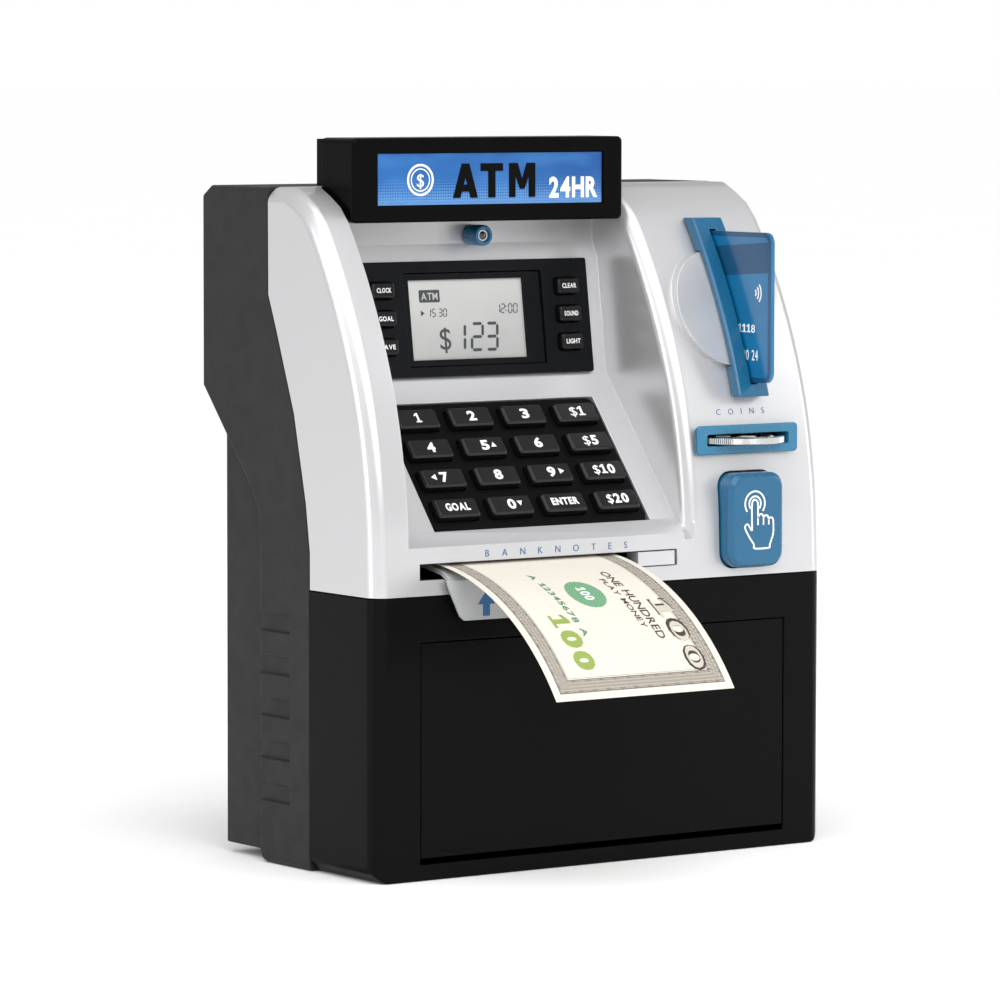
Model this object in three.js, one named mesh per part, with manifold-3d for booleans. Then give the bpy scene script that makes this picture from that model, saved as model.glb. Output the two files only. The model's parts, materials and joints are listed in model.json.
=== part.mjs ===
// Toy ATM savings bank, in millimetres, +Z up.
// Everything is placed by x (to the right), y (depth behind the front plane) and z (height above the base).
// The outer group moves the whole bank so that the origin is on the base.

import * as THREE from 'three';
import { mergeVertices } from 'three/addons/utils/BufferGeometryUtils.js';
import Module from 'manifold-3d';

const wasm = await Module();
wasm.setup();

// ---------------------------------------------------------------- driving dimensions

const DEPTH_TO_ORIGIN = 45;
const HALF_WIDTH = 86;
const WALL = 2.4;
const GAP = 0.3;
const CHAMFER = 3.3;
const BODY_TOP = 209;
const SPLIT_Z = 86.4; // where the silver upper fascia meets the black lower front

// front outline of the silver fascia, seen from the side, as (depth, height)
const FRONT_CURVE = [
  [0, SPLIT_Z], [1.4, 114], [6, 140], [14.6, 165], [26.6, 188.5], [36.6, 202.4], [48.5, BODY_TOP],
];

// seam between the front pieces and the rear shell, seen from the side
const SEAM = [[36, -2], [36, 98], [38.2, 112.8], [44.8, 140.1], [54.5, 165], [59.1, 176], [59.3, 212]];

// rear shell
const TOP_BACK = 97.2;
const LOWER_BACK = 64.7;
const BOX_BACK = 89.3;
const BOX_INSET = 3.2;
const BOX_RISE = 3;
const BOX_TOP = 137.5;
const LOUVRE = { count: 5, first: 19.4, pitch: 13.2, height: 5.5, depth: 1.2, front: 47.4 };
const BATTERY = { left: -28, right: 28, bottom: 18, top: 78, front: 70 };
const GRILLE = { x: -38, z: 172, slots: 7, pitch: 3.6, half: 13 };

// case screws: (x, height) of each, and the depths of the two kinds of post
const SCREW_PLACES = {
  upper_left: [-79.2, 200],
  upper_right: [79.2, 200],
  lower_left: [-75, 11],
  lower_right: [75, 11],
};
const UPPER_POST = [40, 84];
const LOWER_POST = [1, 60];

// recess of the keypad and screen
const RECESS_LEFT = -73.4;
const RECESS_RIGHT = 31.8;
const TUB_WALL = 2;
const KEYPAD_X = -18.8;
const KEYPAD_WIDTH = 81;
const KEYPAD_LENGTH = 47.5;
const KEYPAD_FOOT = [7, 105.4];
const KEYPAD_HEAD = [37.4, 142];
const SCREEN_X = -17.8;
const SCREEN_FOOT = [42.1, 149.8];
const SCREEN_TILT = Math.atan2(22.1, 3.1);
const BEZEL_HALF_WIDTH = 44;
const BEZEL_HEIGHT = 36.2;
const BEZEL_STAND_OFF = 1.3;
const WINDOW_HALF_WIDTH = 26.2;
const WINDOW_LOW = 3.2;
const WINDOW_HIGH = 32.6;
const LCD_DEPTH = 3;
const POD_BEVEL = 2.8;
const POD_BEVEL_FROM = 101;

// keypad keys
const KEY_PITCH_X = 20.2;
const KEY_PITCH_Y = 11.25;
const KEY_WIDTH = 15.8;
const KEY_HEIGHT = 7;
const KEY_FIRST_ROW = 7.1;
const KEY_RAISE = 2.2;

// side keys of the screen
const SIDE_KEY_X = 35.3;
const SIDE_KEY_ROWS = [9.7, 18.5, 27.3];
const SIDE_KEY_WIDTH = 8.4;
const SIDE_KEY_HEIGHT = 5;

// illuminated sign
const SIGN_LEFT = -72;
const SIGN_RIGHT = 30.5;
const SIGN_FRONT = 33;
const SIGN_BACK = 51;
const SIGN_HEAD_BACK = 53.6;
const SIGN_BOTTOM = 198.2;
const SIGN_TOP = 224.2;
const SIGN_WINDOW = [-62.7, 22.9, 203.2, 219.6];
const CAMERA_X = -15.5;
const CAMERA_Z = 193.4;

// note slot and the note in it
const SLOT = [-69.5, 27.7, 91.2, 96.2];
const NOTE_LEFT = -60.3;
const NOTE_RIGHT = 5.8;
const NOTE_THICKNESS = 0.4;
const NOTE_MOUTH = [-0.7, 94.8];
const NOTE_SLOPE = 9;
const NOTE_END_SLOPE = 55;
const NOTE_RADIUS = 85.6;
const NOTE_INSIDE = 44;

// note feed
const ROLLER_Y = 28;
const ROLLER_Z = 105.1;
const ROLLER_RADIUS = 5;
const SHAFT_RADIUS = 1.5;
const GEAR_X = 13.2;
const GEAR_WIDTH = 3;
const GEAR_MODULE = 0.8;
const ROLLER_TEETH = 16;
const PINION_TEETH = 8;
const MOTOR_Y = ROLLER_Y + GEAR_MODULE * (ROLLER_TEETH + PINION_TEETH) / 2 + 0.1;

// door
const DOOR_LEFT = -69.1;
const DOOR_RIGHT = 69.7;
const DOOR_BOTTOM = 6.7;
const DOOR_TOP = 72.2;
const OPENING = [-69.4, 70, 4.8, 72.5];
const HINGE_Y = 4;
const HINGE_Z = 8.8;
const PIN_RADIUS = 1.2;

// coin slot, fingerprint button and card reader on the right-hand pod
const COIN_X = 55.6;
const COIN_Y = 7;
const COIN_Z = 129.5;
const COIN_RADIUS = 15.3;
const BUTTON_X = 55.6;
const BUTTON_Z = 104.3;
const CARD_X = 60;
const CARD_FRONT = -6;
const CARD_BOTTOM = 147;
const CARD_TOP = 194.2;
const CARD_LENGTH = 72;
const READER_RAISE = 4.6;
const DISC_CENTRE = [56.5, 170];
const DISC_RADIUS = 17.8;
const DISC_RAISE = 2.4;

// ---------------------------------------------------------------- geometry helpers

const X_AXIS = new THREE.Vector3(1, 0, 0);
const Y_AXIS = new THREE.Vector3(0, 1, 0);
const Z_AXIS = new THREE.Vector3(0, 0, 1);

function toSolid(geometry) {
  const bare = geometry.clone();
  bare.deleteAttribute('normal');
  bare.deleteAttribute('uv');
  const merged = mergeVertices(bare, 1e-4);
  const index = merged.index.array;
  const triangles = [];
  for (let i = 0; i < index.length; i += 3) {
    const [a, b, c] = [index[i], index[i + 1], index[i + 2]];
    if (a !== b && b !== c && c !== a) triangles.push(a, b, c);
  }
  return new wasm.Manifold(new wasm.Mesh({
    numProp: 3,
    vertProperties: new Float32Array(merged.attributes.position.array),
    triVerts: new Uint32Array(triangles),
  }));
}

function toGeometry(solid) {
  const mesh = solid.getMesh();
  const geometry = new THREE.BufferGeometry();
  geometry.setAttribute('position', new THREE.BufferAttribute(new Float32Array(mesh.vertProperties), 3));
  geometry.setIndex(new THREE.BufferAttribute(new Uint32Array(mesh.triVerts), 1));
  geometry.computeVertexNormals();
  return geometry;
}

const union = (...parts) => parts.reduce((sum, part) => sum.add(part));
const cut = (base, ...parts) => parts.reduce((rest, part) => rest.subtract(part), base);

function outlineShape(outline) {
  if (outline instanceof THREE.Shape) return outline;
  return new THREE.Shape(outline.map(([a, b]) => new THREE.Vector2(a, b)));
}

function extrude(outline, length, bevel, bevelSegments, curveSegments) {
  const shape = outlineShape(outline);
  const options = { depth: length - 2 * bevel, steps: 1, curveSegments, bevelEnabled: bevel > 0 };
  Object.assign(options, { bevelThickness: bevel, bevelSize: bevel, bevelOffset: -bevel, bevelSegments });
  return new THREE.ExtrudeGeometry(shape, options).translate(0, 0, bevel);
}

// outline in (y, z), drawn out along x
function alongX(outline, x0, x1, bevel = 0, bevelSegments = 1, curveSegments = 4) {
  const turn = new THREE.Matrix4().makeBasis(Y_AXIS, Z_AXIS, X_AXIS);
  const geometry = extrude(outline, x1 - x0, bevel, bevelSegments, curveSegments);
  return toSolid(geometry.applyMatrix4(turn).translate(x0, 0, 0));
}

// outline in (x, z), drawn out along y
function alongY(outline, y0, y1, bevel = 0, bevelSegments = 1, curveSegments = 4) {
  const turn = new THREE.Matrix4().makeBasis(X_AXIS, Z_AXIS, new THREE.Vector3(0, -1, 0));
  const geometry = extrude(outline, y1 - y0, bevel, bevelSegments, curveSegments);
  return toSolid(geometry.applyMatrix4(turn).translate(0, y1, 0));
}

// outline in (x, y), drawn out along z
function alongZ(outline, z0, z1, bevel = 0, bevelSegments = 1, curveSegments = 4) {
  return toSolid(extrude(outline, z1 - z0, bevel, bevelSegments, curveSegments).translate(0, 0, z0));
}

function block(x0, x1, y0, y1, z0, z1) {
  const geometry = new THREE.BoxGeometry(x1 - x0, y1 - y0, z1 - z0);
  return toSolid(geometry.translate((x0 + x1) / 2, (y0 + y1) / 2, (z0 + z1) / 2));
}

function rodX(radius, x0, x1, y, z, sides = 20) {
  const geometry = new THREE.CylinderGeometry(radius, radius, x1 - x0, sides);
  return toSolid(geometry.rotateZ(-Math.PI / 2).translate((x0 + x1) / 2, y, z));
}

function rodY(radius, y0, y1, x, z, sides = 20) {
  const geometry = new THREE.CylinderGeometry(radius, radius, y1 - y0, sides);
  return toSolid(geometry.translate(x, (y0 + y1) / 2, z));
}

function rodZ(radius, z0, z1, x, y, sides = 20) {
  const geometry = new THREE.CylinderGeometry(radius, radius, z1 - z0, sides);
  return toSolid(geometry.rotateX(Math.PI / 2).translate(x, y, (z0 + z1) / 2));
}

function roundRect(a, b, width, height, radius) {
  const [w, h] = [width / 2, height / 2];
  const shape = new THREE.Shape();
  shape.moveTo(a - w + radius, b - h);
  shape.lineTo(a + w - radius, b - h);
  shape.absarc(a + w - radius, b - h + radius, radius, -Math.PI / 2, 0);
  shape.absarc(a + w - radius, b + h - radius, radius, 0, Math.PI / 2);
  shape.absarc(a - w + radius, b + h - radius, radius, Math.PI / 2, Math.PI);
  shape.absarc(a - w + radius, b - h + radius, radius, Math.PI, 1.5 * Math.PI);
  return shape;
}

// moves an open outline sideways by a distance, to the right of its direction of travel
function offsetLine(points, distance) {
  const unit = (p, q) => {
    const length = Math.hypot(q[0] - p[0], q[1] - p[1]);
    return [(q[0] - p[0]) / length, (q[1] - p[1]) / length];
  };
  return points.map((point, i) => {
    const before = i > 0 ? unit(points[i - 1], point) : unit(point, points[i + 1]);
    const after = i < points.length - 1 ? unit(point, points[i + 1]) : before;
    const normal = [before[1] + after[1], -before[0] - after[0]];
    const scale = distance / (1 + before[0] * after[0] + before[1] * after[1]);
    return [point[0] + normal[0] * scale, point[1] + normal[1] * scale];
  });
}

function smoothLine(points, divisions) {
  const places = points.map(([y, z]) => new THREE.Vector3(y, z, 0));
  const curve = new THREE.CatmullRomCurve3(places, false, 'centripetal');
  return curve.getSpacedPoints(divisions).map((p) => [p.x, p.y]);
}

function frameMatrix(x, [y, z], tilt) {
  return new THREE.Matrix4().makeRotationX(tilt).setPosition(x, y, z);
}

const KEYPAD_TILT = Math.atan2(KEYPAD_HEAD[1] - KEYPAD_FOOT[1], KEYPAD_HEAD[0] - KEYPAD_FOOT[0]);
const KEYPAD_FRAME = frameMatrix(KEYPAD_X, KEYPAD_FOOT, KEYPAD_TILT);
const SCREEN_FRAME = frameMatrix(SCREEN_X, SCREEN_FOOT, SCREEN_TILT);

// a cutter given in a tilted frame, carried into the bank's own frame
function placed(solid, matrix) {
  return toSolid(toGeometry(solid).applyMatrix4(matrix));
}

// ---------------------------------------------------------------- scene assembly

const bank = new THREE.Group();
const body = new THREE.Group();
body.position.y = -DEPTH_TO_ORIGIN;
bank.add(body);

const keypadGroup = new THREE.Group();
keypadGroup.position.set(KEYPAD_X, ...KEYPAD_FOOT);
keypadGroup.rotation.x = KEYPAD_TILT;
body.add(keypadGroup);

const screenGroup = new THREE.Group();
screenGroup.position.set(SCREEN_X, ...SCREEN_FOOT);
screenGroup.rotation.x = SCREEN_TILT;
body.add(screenGroup);

const FINISHES = {
  black: [0x1b1b1c, 0.42, 0],
  charcoal: [0x333335, 0.5, 0],
  silver: [0xc9cacc, 0.3, 0.35],
  blue: [0x2a7fb5, 0.35, 0],
  card: [0x0a7ac4, 0.25, 0],
  signBlue: [0x2c6ab8, 0.3, 0],
  screen: [0xc9cac8, 0.35, 0],
  grey: [0xb9bbbd, 0.5, 0],
  paper: [0xece6dc, 0.8, 0],
  steel: [0xb4b6b8, 0.3, 0.9],
  coin: [0xc4c2bc, 0.3, 0.9],
  board: [0x1f6b3f, 0.5, 0],
  rubber: [0x2a2a2a, 0.85, 0],
  nylon: [0xe8e4d8, 0.5, 0],
};

function addPiece(name, solid, finish, parent = body) {
  const [color, roughness, metalness] = FINISHES[finish];
  const material = new THREE.MeshStandardMaterial({ color, roughness, metalness });
  const mesh = new THREE.Mesh(toGeometry(solid), material);
  mesh.name = name;
  parent.add(mesh);
}

// ---------------------------------------------------------------- outer casing

const frontLine = smoothLine(FRONT_CURVE, 22);
const innerFrontLine = offsetLine(frontLine, WALL);

function frontBlock() {
  return alongX([[0, 0], ...frontLine, [120, BODY_TOP], [120, 0]], -HALF_WIDTH, HALF_WIDTH, CHAMFER);
}

function frontHollow() {
  const side = HALF_WIDTH - WALL;
  return alongX([[WALL, WALL], ...innerFrontLine, [130, BODY_TOP - WALL], [130, WALL]], -side, side);
}

function seamRegion(zLow, zHigh, setBack) {
  const line = SEAM.map(([y, z]) => [y - setBack, z]);
  const region = alongX([[-30, -2], ...line, [-30, 212]], -100, 100);
  return region.intersect(block(-100, 100, -40, 80, zLow, zHigh));
}

// line of the recess floor from the front lip up the keypad slope and the screen wall to the top
const screenWallDepth = (z) => 43.1 + BEZEL_STAND_OFF + (z - 156.5) / Math.tan(SCREEN_TILT);
const RECESS_LINE = [
  [-8, 101], [0.4, 101], KEYPAD_FOOT, KEYPAD_HEAD, [screenWallDepth(149.3), 149.3],
  [screenWallDepth(185.8), 185.8], [SIGN_BACK + GAP, 190.7], [SIGN_BACK + GAP, 216],
];

function screwPost(x, z, [y0, y1], radius) {
  return rodY(radius, y0, y1, x, z, 16);
}

function frontFascia() {
  const region = seamRegion(SPLIT_Z + 0.15, 212, 0.2);
  const recess = alongX([...RECESS_LINE, [-8, 216]], RECESS_LEFT, RECESS_RIGHT);
  const tubLine = offsetLine(RECESS_LINE, TUB_WALL);
  const tub = alongX([...tubLine, [-8, 216]], RECESS_LEFT - TUB_WALL, RECESS_RIGHT + TUB_WALL);
  const outer = frontBlock();
  let fascia = cut(outer, frontHollow()).intersect(region);
  fascia = union(fascia, tub.intersect(outer).intersect(region));
  for (const place of ['upper_left', 'upper_right']) {
    fascia = fascia.add(screwPost(...SCREW_PLACES[place], UPPER_POST, 3.2));
  }
  fascia = cut(fascia, recess);
  fascia = fascia.add(readerDisc(DISC_RADIUS, DISC_RAISE));
  // softened edge of the pod beside the recess
  const bevelLine = offsetLine(frontLine, POD_BEVEL);
  for (let i = 0; i < frontLine.length - 1; i += 1) {
    if (frontLine[i + 1][1] < POD_BEVEL_FROM) continue;
    fascia = cut(fascia, bevelWedge([[frontLine[i], bevelLine[i]], [frontLine[i + 1], bevelLine[i + 1]]]));
  }
  // openings for the keypad, the screen, the camera and the note
  const keypadHole = block(-KEYPAD_WIDTH / 2 - GAP, KEYPAD_WIDTH / 2 + GAP, -GAP, KEYPAD_LENGTH + GAP, -8, 6);
  const screenHole = block(-41.6, 41.6, 2.2, BEZEL_HEIGHT - 2.2, -9, 4);
  fascia = cut(fascia, placed(keypadHole, KEYPAD_FRAME), placed(screenHole, SCREEN_FRAME));
  fascia = cut(fascia, rodY(2.3, SIGN_BACK - 4, SIGN_BACK + 6, CAMERA_X, CAMERA_Z, 12));
  fascia = cut(fascia, block(SLOT[0], SLOT[1], -4, WALL + 2, SLOT[2], SLOT[3]));
  // openings of the pod for the coin, the button and the card reader
  fascia = cut(fascia, alongY(roundRect(COIN_X, COIN_Z, 36.4, 7.2, 1), -4, 12));
  fascia = cut(fascia, alongY(roundRect(BUTTON_X, BUTTON_Z, 22.4, 30.4, 5), -4, 8));
  fascia = cut(fascia, block(CARD_X - 4.3, CARD_X + 4.3, -4, 44, 144.6, 196.4));
  for (const place of ['upper_left', 'upper_right']) {
    const [x, z] = SCREW_PLACES[place];
    fascia = cut(fascia, rodY(1.5, 70, 90, x, z, 12));
  }
  addPiece('front_fascia', fascia, 'silver');
}

// one straight length of the pod's edge bevel, between two heights of the front line
function bevelWedge(ends) {
  const reach = 6;
  const left = RECESS_RIGHT - 1;
  const points = ends.flatMap(([face, back]) => {
    const away = face.map((value, i) => value - (back[i] - value) * reach / POD_BEVEL);
    return [
      [left, ...away], [RECESS_RIGHT + POD_BEVEL + reach, ...away], [RECESS_RIGHT, ...back], [left, ...back],
    ];
  });
  return hull8(points);
}

// closed solid through two four-cornered ends, given in the same order
function hull8(points) {
  const faces = [[0, 1, 2, 3], [7, 6, 5, 4], [0, 4, 5, 1], [1, 5, 6, 2], [2, 6, 7, 3], [3, 7, 4, 0]];
  const index = faces.flatMap(([a, b, c, d]) => [a, b, c, a, c, d]);
  const geometry = new THREE.BufferGeometry();
  geometry.setAttribute('position', new THREE.BufferAttribute(new Float32Array(points.flat()), 3));
  geometry.setIndex(index);
  const solid = toSolid(geometry);
  return solid.volume() > 0 ? solid : toSolid(geometry.setIndex(index.slice().reverse()));
}

function lowerFront() {
  let shell = cut(frontBlock(), frontHollow()).intersect(seamRegion(-1, SPLIT_Z - 0.15, 0.2));
  shell = cut(shell, block(OPENING[0], OPENING[1], -2, WALL + 0.2, OPENING[2], OPENING[3]));
  for (const [x0, x1] of [[OPENING[0] - 3, OPENING[0] - 0.1], [OPENING[1] + 0.1, OPENING[1] + 3]]) {
    shell = shell.add(block(x0, x1, 1, 7.4, 1, 12.6));
  }
  for (const place of ['lower_left', 'lower_right']) {
    shell = shell.add(screwPost(...SCREW_PLACES[place], LOWER_POST, 3.4));
    const [x, z] = SCREW_PLACES[place];
    shell = cut(shell, rodY(1.5, 46, 62, x, z, 12));
  }
  shell = cut(shell, rodX(PIN_RADIUS + GAP, OPENING[0] - 2, OPENING[1] + 2, HINGE_Y, HINGE_Z, 16));
  addPiece('lower_front', shell, 'black');
}

function rearOutline(inset) {
  const top = BODY_TOP - inset;
  const corner = 3;
  const back = TOP_BACK - inset;
  const low = LOWER_BACK - inset;
  const lowCorner = [low - corner * 0.3, inset + corner * 0.3];
  return [
    [20, inset], [low - corner, inset], lowCorner, [low, inset + corner], [low, 103 + inset * 0.3],
    [LOWER_BACK + 1 - inset, 109.2 + inset * 0.4], [69.1 - inset * 0.8, 115.1 + inset * 0.6],
    [back, 146.3 + inset * 0.45], [back, top - corner], [back - corner * 1.6, top], [20, top],
  ];
}

function rearShell() {
  const side = HALF_WIDTH;
  const boxSide = side - BOX_INSET;
  const seam = SEAM.map(([y, z]) => [y + 0.2, z]);
  const front = alongX([[0, -4], ...seam.map(([y, z]) => [y, z < 0 ? -4 : z]), [0, 216]], -100, 100);
  const boxOutline = (inset) => {
    const [x, y] = [boxSide - inset, BOX_BACK - inset];
    const radius = 2 - inset * 0.4;
    return [[-x, 50], [x, 50], [x, y - radius], [x - radius * 0.3, y - radius * 0.3], [x - radius, y],
      [radius - x, y], [radius * 0.3 - x, y - radius * 0.3], [-x, y - radius]];
  };
  let shell = alongX(rearOutline(0), -side, side, 1);
  shell = shell.add(alongZ(boxOutline(0), BOX_RISE, BOX_TOP));
  let hollow = alongX(rearOutline(WALL), -side + WALL, side - WALL);
  hollow = hollow.add(alongZ(boxOutline(WALL), BOX_RISE + WALL, BOX_TOP - WALL));
  const [left, right] = [BATTERY.left - 2, BATTERY.right + 2];
  hollow = cut(hollow, block(left, right, BATTERY.front - 2, 100, BATTERY.bottom - 2, BATTERY.top + 2));
  for (const [place, [x, z]] of Object.entries(SCREW_PLACES)) {
    const upper = place.startsWith('upper');
    const end = upper ? UPPER_POST[1] : LOWER_POST[1];
    hollow = cut(hollow, rodY(5, end + GAP, 100, x, z, 16));
  }
  shell = cut(shell, hollow, front);
  for (const [place, [x, z]] of Object.entries(SCREW_PLACES)) {
    const upper = place.startsWith('upper');
    const end = upper ? UPPER_POST[1] : LOWER_POST[1];
    shell = cut(shell, rodY(3.2, end + 2.5, 100, x, z, 16), rodY(1.7, end - 3, 100, x, z, 12));
  }
  // battery pocket with a rebate for its cover
  shell = cut(shell, block(BATTERY.left, BATTERY.right, BATTERY.front, 100, BATTERY.bottom, BATTERY.top));
  const rebate = roundRect(0, (BATTERY.bottom + BATTERY.top) / 2, 60, 64, 2);
  shell = cut(shell, alongY(rebate, BOX_BACK - 1.6, 100));
  // speaker grille in the back
  for (let i = 0; i < GRILLE.slots; i += 1) {
    const z = GRILLE.z + (i - (GRILLE.slots - 1) / 2) * GRILLE.pitch;
    shell = cut(shell, block(GRILLE.x - GRILLE.half, GRILLE.x + GRILLE.half, 90, 100, z - 0.8, z + 0.8));
  }
  // louvre grooves on each side
  for (let i = 0; i < LOUVRE.count; i += 1) {
    const z = LOUVRE.first + i * LOUVRE.pitch;
    const deep = side - LOUVRE.depth;
    for (const [x0, x1] of [[deep, side + 2], [-side - 2, -deep]]) {
      shell = cut(shell, block(x0, x1, LOUVRE.front, 70, z, z + LOUVRE.height));
    }
  }
  addPiece('rear_shell', shell, 'charcoal');
}

function caseScrews() {
  for (const [place, [x, z]] of Object.entries(SCREW_PLACES)) {
    const end = (place.startsWith('upper') ? UPPER_POST[1] : LOWER_POST[1]) + 2.5 + GAP;
    const head = rodY(2.7, end, end + 2, x, z, 16);
    const shank = rodY(1.2, end - 13, end + 0.5, x, z, 10);
    addPiece(`case_screw_${place}`, union(head, shank), 'steel');
  }
}

// ---------------------------------------------------------------- sign, camera, screen

function sign() {
  const [left, right, bottom, top] = SIGN_WINDOW;
  const centre = [(SIGN_LEFT + SIGN_RIGHT) / 2, (SIGN_BOTTOM + SIGN_TOP) / 2];
  const outline = roundRect(...centre, SIGN_RIGHT - SIGN_LEFT, SIGN_TOP - SIGN_BOTTOM, 1.8);
  let housing = alongY(outline, SIGN_FRONT, SIGN_BACK, 0.8, 1, 3);
  const head = [
    SIGN_LEFT + 0.4, SIGN_RIGHT - 0.4, SIGN_BACK - 1, SIGN_HEAD_BACK, BODY_TOP + GAP, SIGN_TOP - 0.4,
  ];
  housing = housing.add(block(...head));
  housing = cut(housing, block(left, right, SIGN_FRONT - 1, SIGN_FRONT + 2.4, bottom, top));
  housing = cut(housing, block(left + 2, right - 2, SIGN_FRONT - 1, SIGN_BACK - 2, bottom + 1.5, top - 1.5));
  addPiece('sign_housing', housing, 'black');
  const pane = block(left + GAP, right - GAP, SIGN_FRONT + 0.8, SIGN_FRONT + 2.1, bottom + GAP, top - GAP);
  addPiece('sign_window', pane, 'signBlue');
  let board = block(left + 4, right - 4, SIGN_BACK - 4.2, SIGN_BACK - 2.6, bottom + 3, top - 3);
  for (let i = 0; i < 4; i += 1) {
    const x = left + 14 + i * 19.2;
    const z = (bottom + top) / 2;
    board = board.add(block(x - 1.8, x + 1.8, SIGN_BACK - 6, SIGN_BACK - 4, z - 1.4, z + 1.4));
  }
  addPiece('sign_light_board', board, 'board');
}

function camera() {
  let barrel = rodY(3.3, 43.6, SIGN_BACK, CAMERA_X, CAMERA_Z, 24);
  barrel = barrel.add(rodY(2, SIGN_BACK - 1, SIGN_BACK + 4, CAMERA_X, CAMERA_Z, 12));
  barrel = cut(barrel, rodY(1.9, 40, 44.8, CAMERA_X, CAMERA_Z, 20));
  addPiece('camera_housing', barrel, 'blue');
}

function screen() {
  const middle = BEZEL_HEIGHT / 2;
  let bezel = alongZ(roundRect(0, middle, 2 * BEZEL_HALF_WIDTH, BEZEL_HEIGHT, 0.8), -1, 0);
  bezel = bezel.add(block(-41.2, 41.2, 2.6, BEZEL_HEIGHT - 2.6, -2.6, -0.5));
  const inner = block(-WINDOW_HALF_WIDTH, WINDOW_HALF_WIDTH, WINDOW_LOW, WINDOW_HIGH, -6, 4);
  bezel = cut(bezel, inner);
  for (const sign of [-1, 1]) {
    for (const y of SIDE_KEY_ROWS) {
      const hole = roundRect(sign * SIDE_KEY_X, y, SIDE_KEY_WIDTH + 2 * GAP, SIDE_KEY_HEIGHT + 2 * GAP, 1);
      bezel = cut(bezel, alongZ(hole, -6, 3, 0, 1, 1));
    }
  }
  addPiece('display_bezel', bezel, 'black', screenGroup);
  const [w, low, high] = [WINDOW_HALF_WIDTH - GAP, WINDOW_LOW + GAP, WINDOW_HIGH - GAP];
  const glass = block(-w, w, low, high, -LCD_DEPTH - 1.5, -LCD_DEPTH + 1.2);
  addPiece('lcd_panel', glass, 'screen', screenGroup);
}

function sideKeys() {
  const names = ['left', 'right'];
  names.forEach((name, column) => {
    SIDE_KEY_ROWS.forEach((y, row) => {
      const x = (column * 2 - 1) * SIDE_KEY_X;
      const cap = alongZ(roundRect(x, y, SIDE_KEY_WIDTH, SIDE_KEY_HEIGHT, 0.9), -2.9, 2, 0.5, 1, 1);
      const flange = block(x - 5, x + 5, y - 3.4, y + 3.4, -4, -2.9);
      const stem = block(x - 3, x + 3, y - 1.5, y + 1.5, -3.5, 0);
      addPiece(`screen_key_${name}_${3 - row}`, union(cap, flange, stem), 'black', screenGroup);
    });
  });
}

// ---------------------------------------------------------------- keypad

const KEY_NAMES = [
  ['goal', '0', 'enter', '20_dollars'],
  ['7', '8', '9', '10_dollars'],
  ['4', '5', '6', '5_dollars'],
  ['1', '2', '3', '1_dollar'],
];
const keyPlace = (row, column) => [(column - 1.5) * KEY_PITCH_X, KEY_FIRST_ROW + row * KEY_PITCH_Y];

function keypad() {
  const middle = KEYPAD_LENGTH / 2;
  let panel = alongZ(roundRect(0, middle, KEYPAD_WIDTH, KEYPAD_LENGTH, 3), -3.2, -0.4);
  panel = panel.add(alongZ(roundRect(0, middle, KEYPAD_WIDTH + 3, KEYPAD_LENGTH + 3, 3), -4.4, -2.6));
  const board = block(-KEYPAD_WIDTH / 2, KEYPAD_WIDTH / 2, 1, KEYPAD_LENGTH - 1, -8.2, -7);
  KEY_NAMES.forEach((names, row) => {
    names.forEach((name, column) => {
      const [x, y] = keyPlace(row, column);
      const hole = roundRect(x, y, KEY_WIDTH + 2 * GAP, KEY_HEIGHT + 2 * GAP, 1);
      panel = cut(panel, alongZ(hole, -6, 2, 0, 1, 1));
      const cap = alongZ(roundRect(x, y, KEY_WIDTH, KEY_HEIGHT, 1), -4.8, KEY_RAISE, 0.7, 1, 1);
      const flange = block(x - 9, x + 9, y - 4.4, y + 4.4, -5.5, -4.7);
      const stem = block(x - 6, x + 6, y - 2.4, y + 2.4, -5.4, 0);
      addPiece(`key_${name}`, union(cap, flange, stem), 'black', keypadGroup);
    });
  });
  addPiece('keypad_panel', panel, 'black', keypadGroup);
  addPiece('keypad_board', board, 'board', keypadGroup);
}

// ---------------------------------------------------------------- note, its guide and its feed

const slopeRadians = THREE.MathUtils.degToRad(NOTE_SLOPE);
const endRadians = THREE.MathUtils.degToRad(NOTE_END_SLOPE);
const noteHeight = (y) => NOTE_MOUTH[1] + (y - NOTE_MOUTH[0]) * Math.tan(slopeRadians);

function noteLine() {
  const points = [[NOTE_INSIDE, noteHeight(NOTE_INSIDE)]];
  const steps = 14;
  for (let i = 0; i <= steps; i += 1) {
    const angle = slopeRadians + (endRadians - slopeRadians) * i / steps;
    const y = NOTE_MOUTH[0] - NOTE_RADIUS * (Math.sin(angle) - Math.sin(slopeRadians));
    points.push([y, NOTE_MOUTH[1] - NOTE_RADIUS * (Math.cos(slopeRadians) - Math.cos(angle))]);
  }
  return points;
}

function banknote() {
  const line = noteLine();
  const upper = offsetLine(line, NOTE_THICKNESS / 2);
  const lower = offsetLine(line, -NOTE_THICKNESS / 2);
  addPiece('banknote', alongX([...upper, ...lower.reverse()], NOTE_LEFT, NOTE_RIGHT), 'paper');
}

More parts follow.
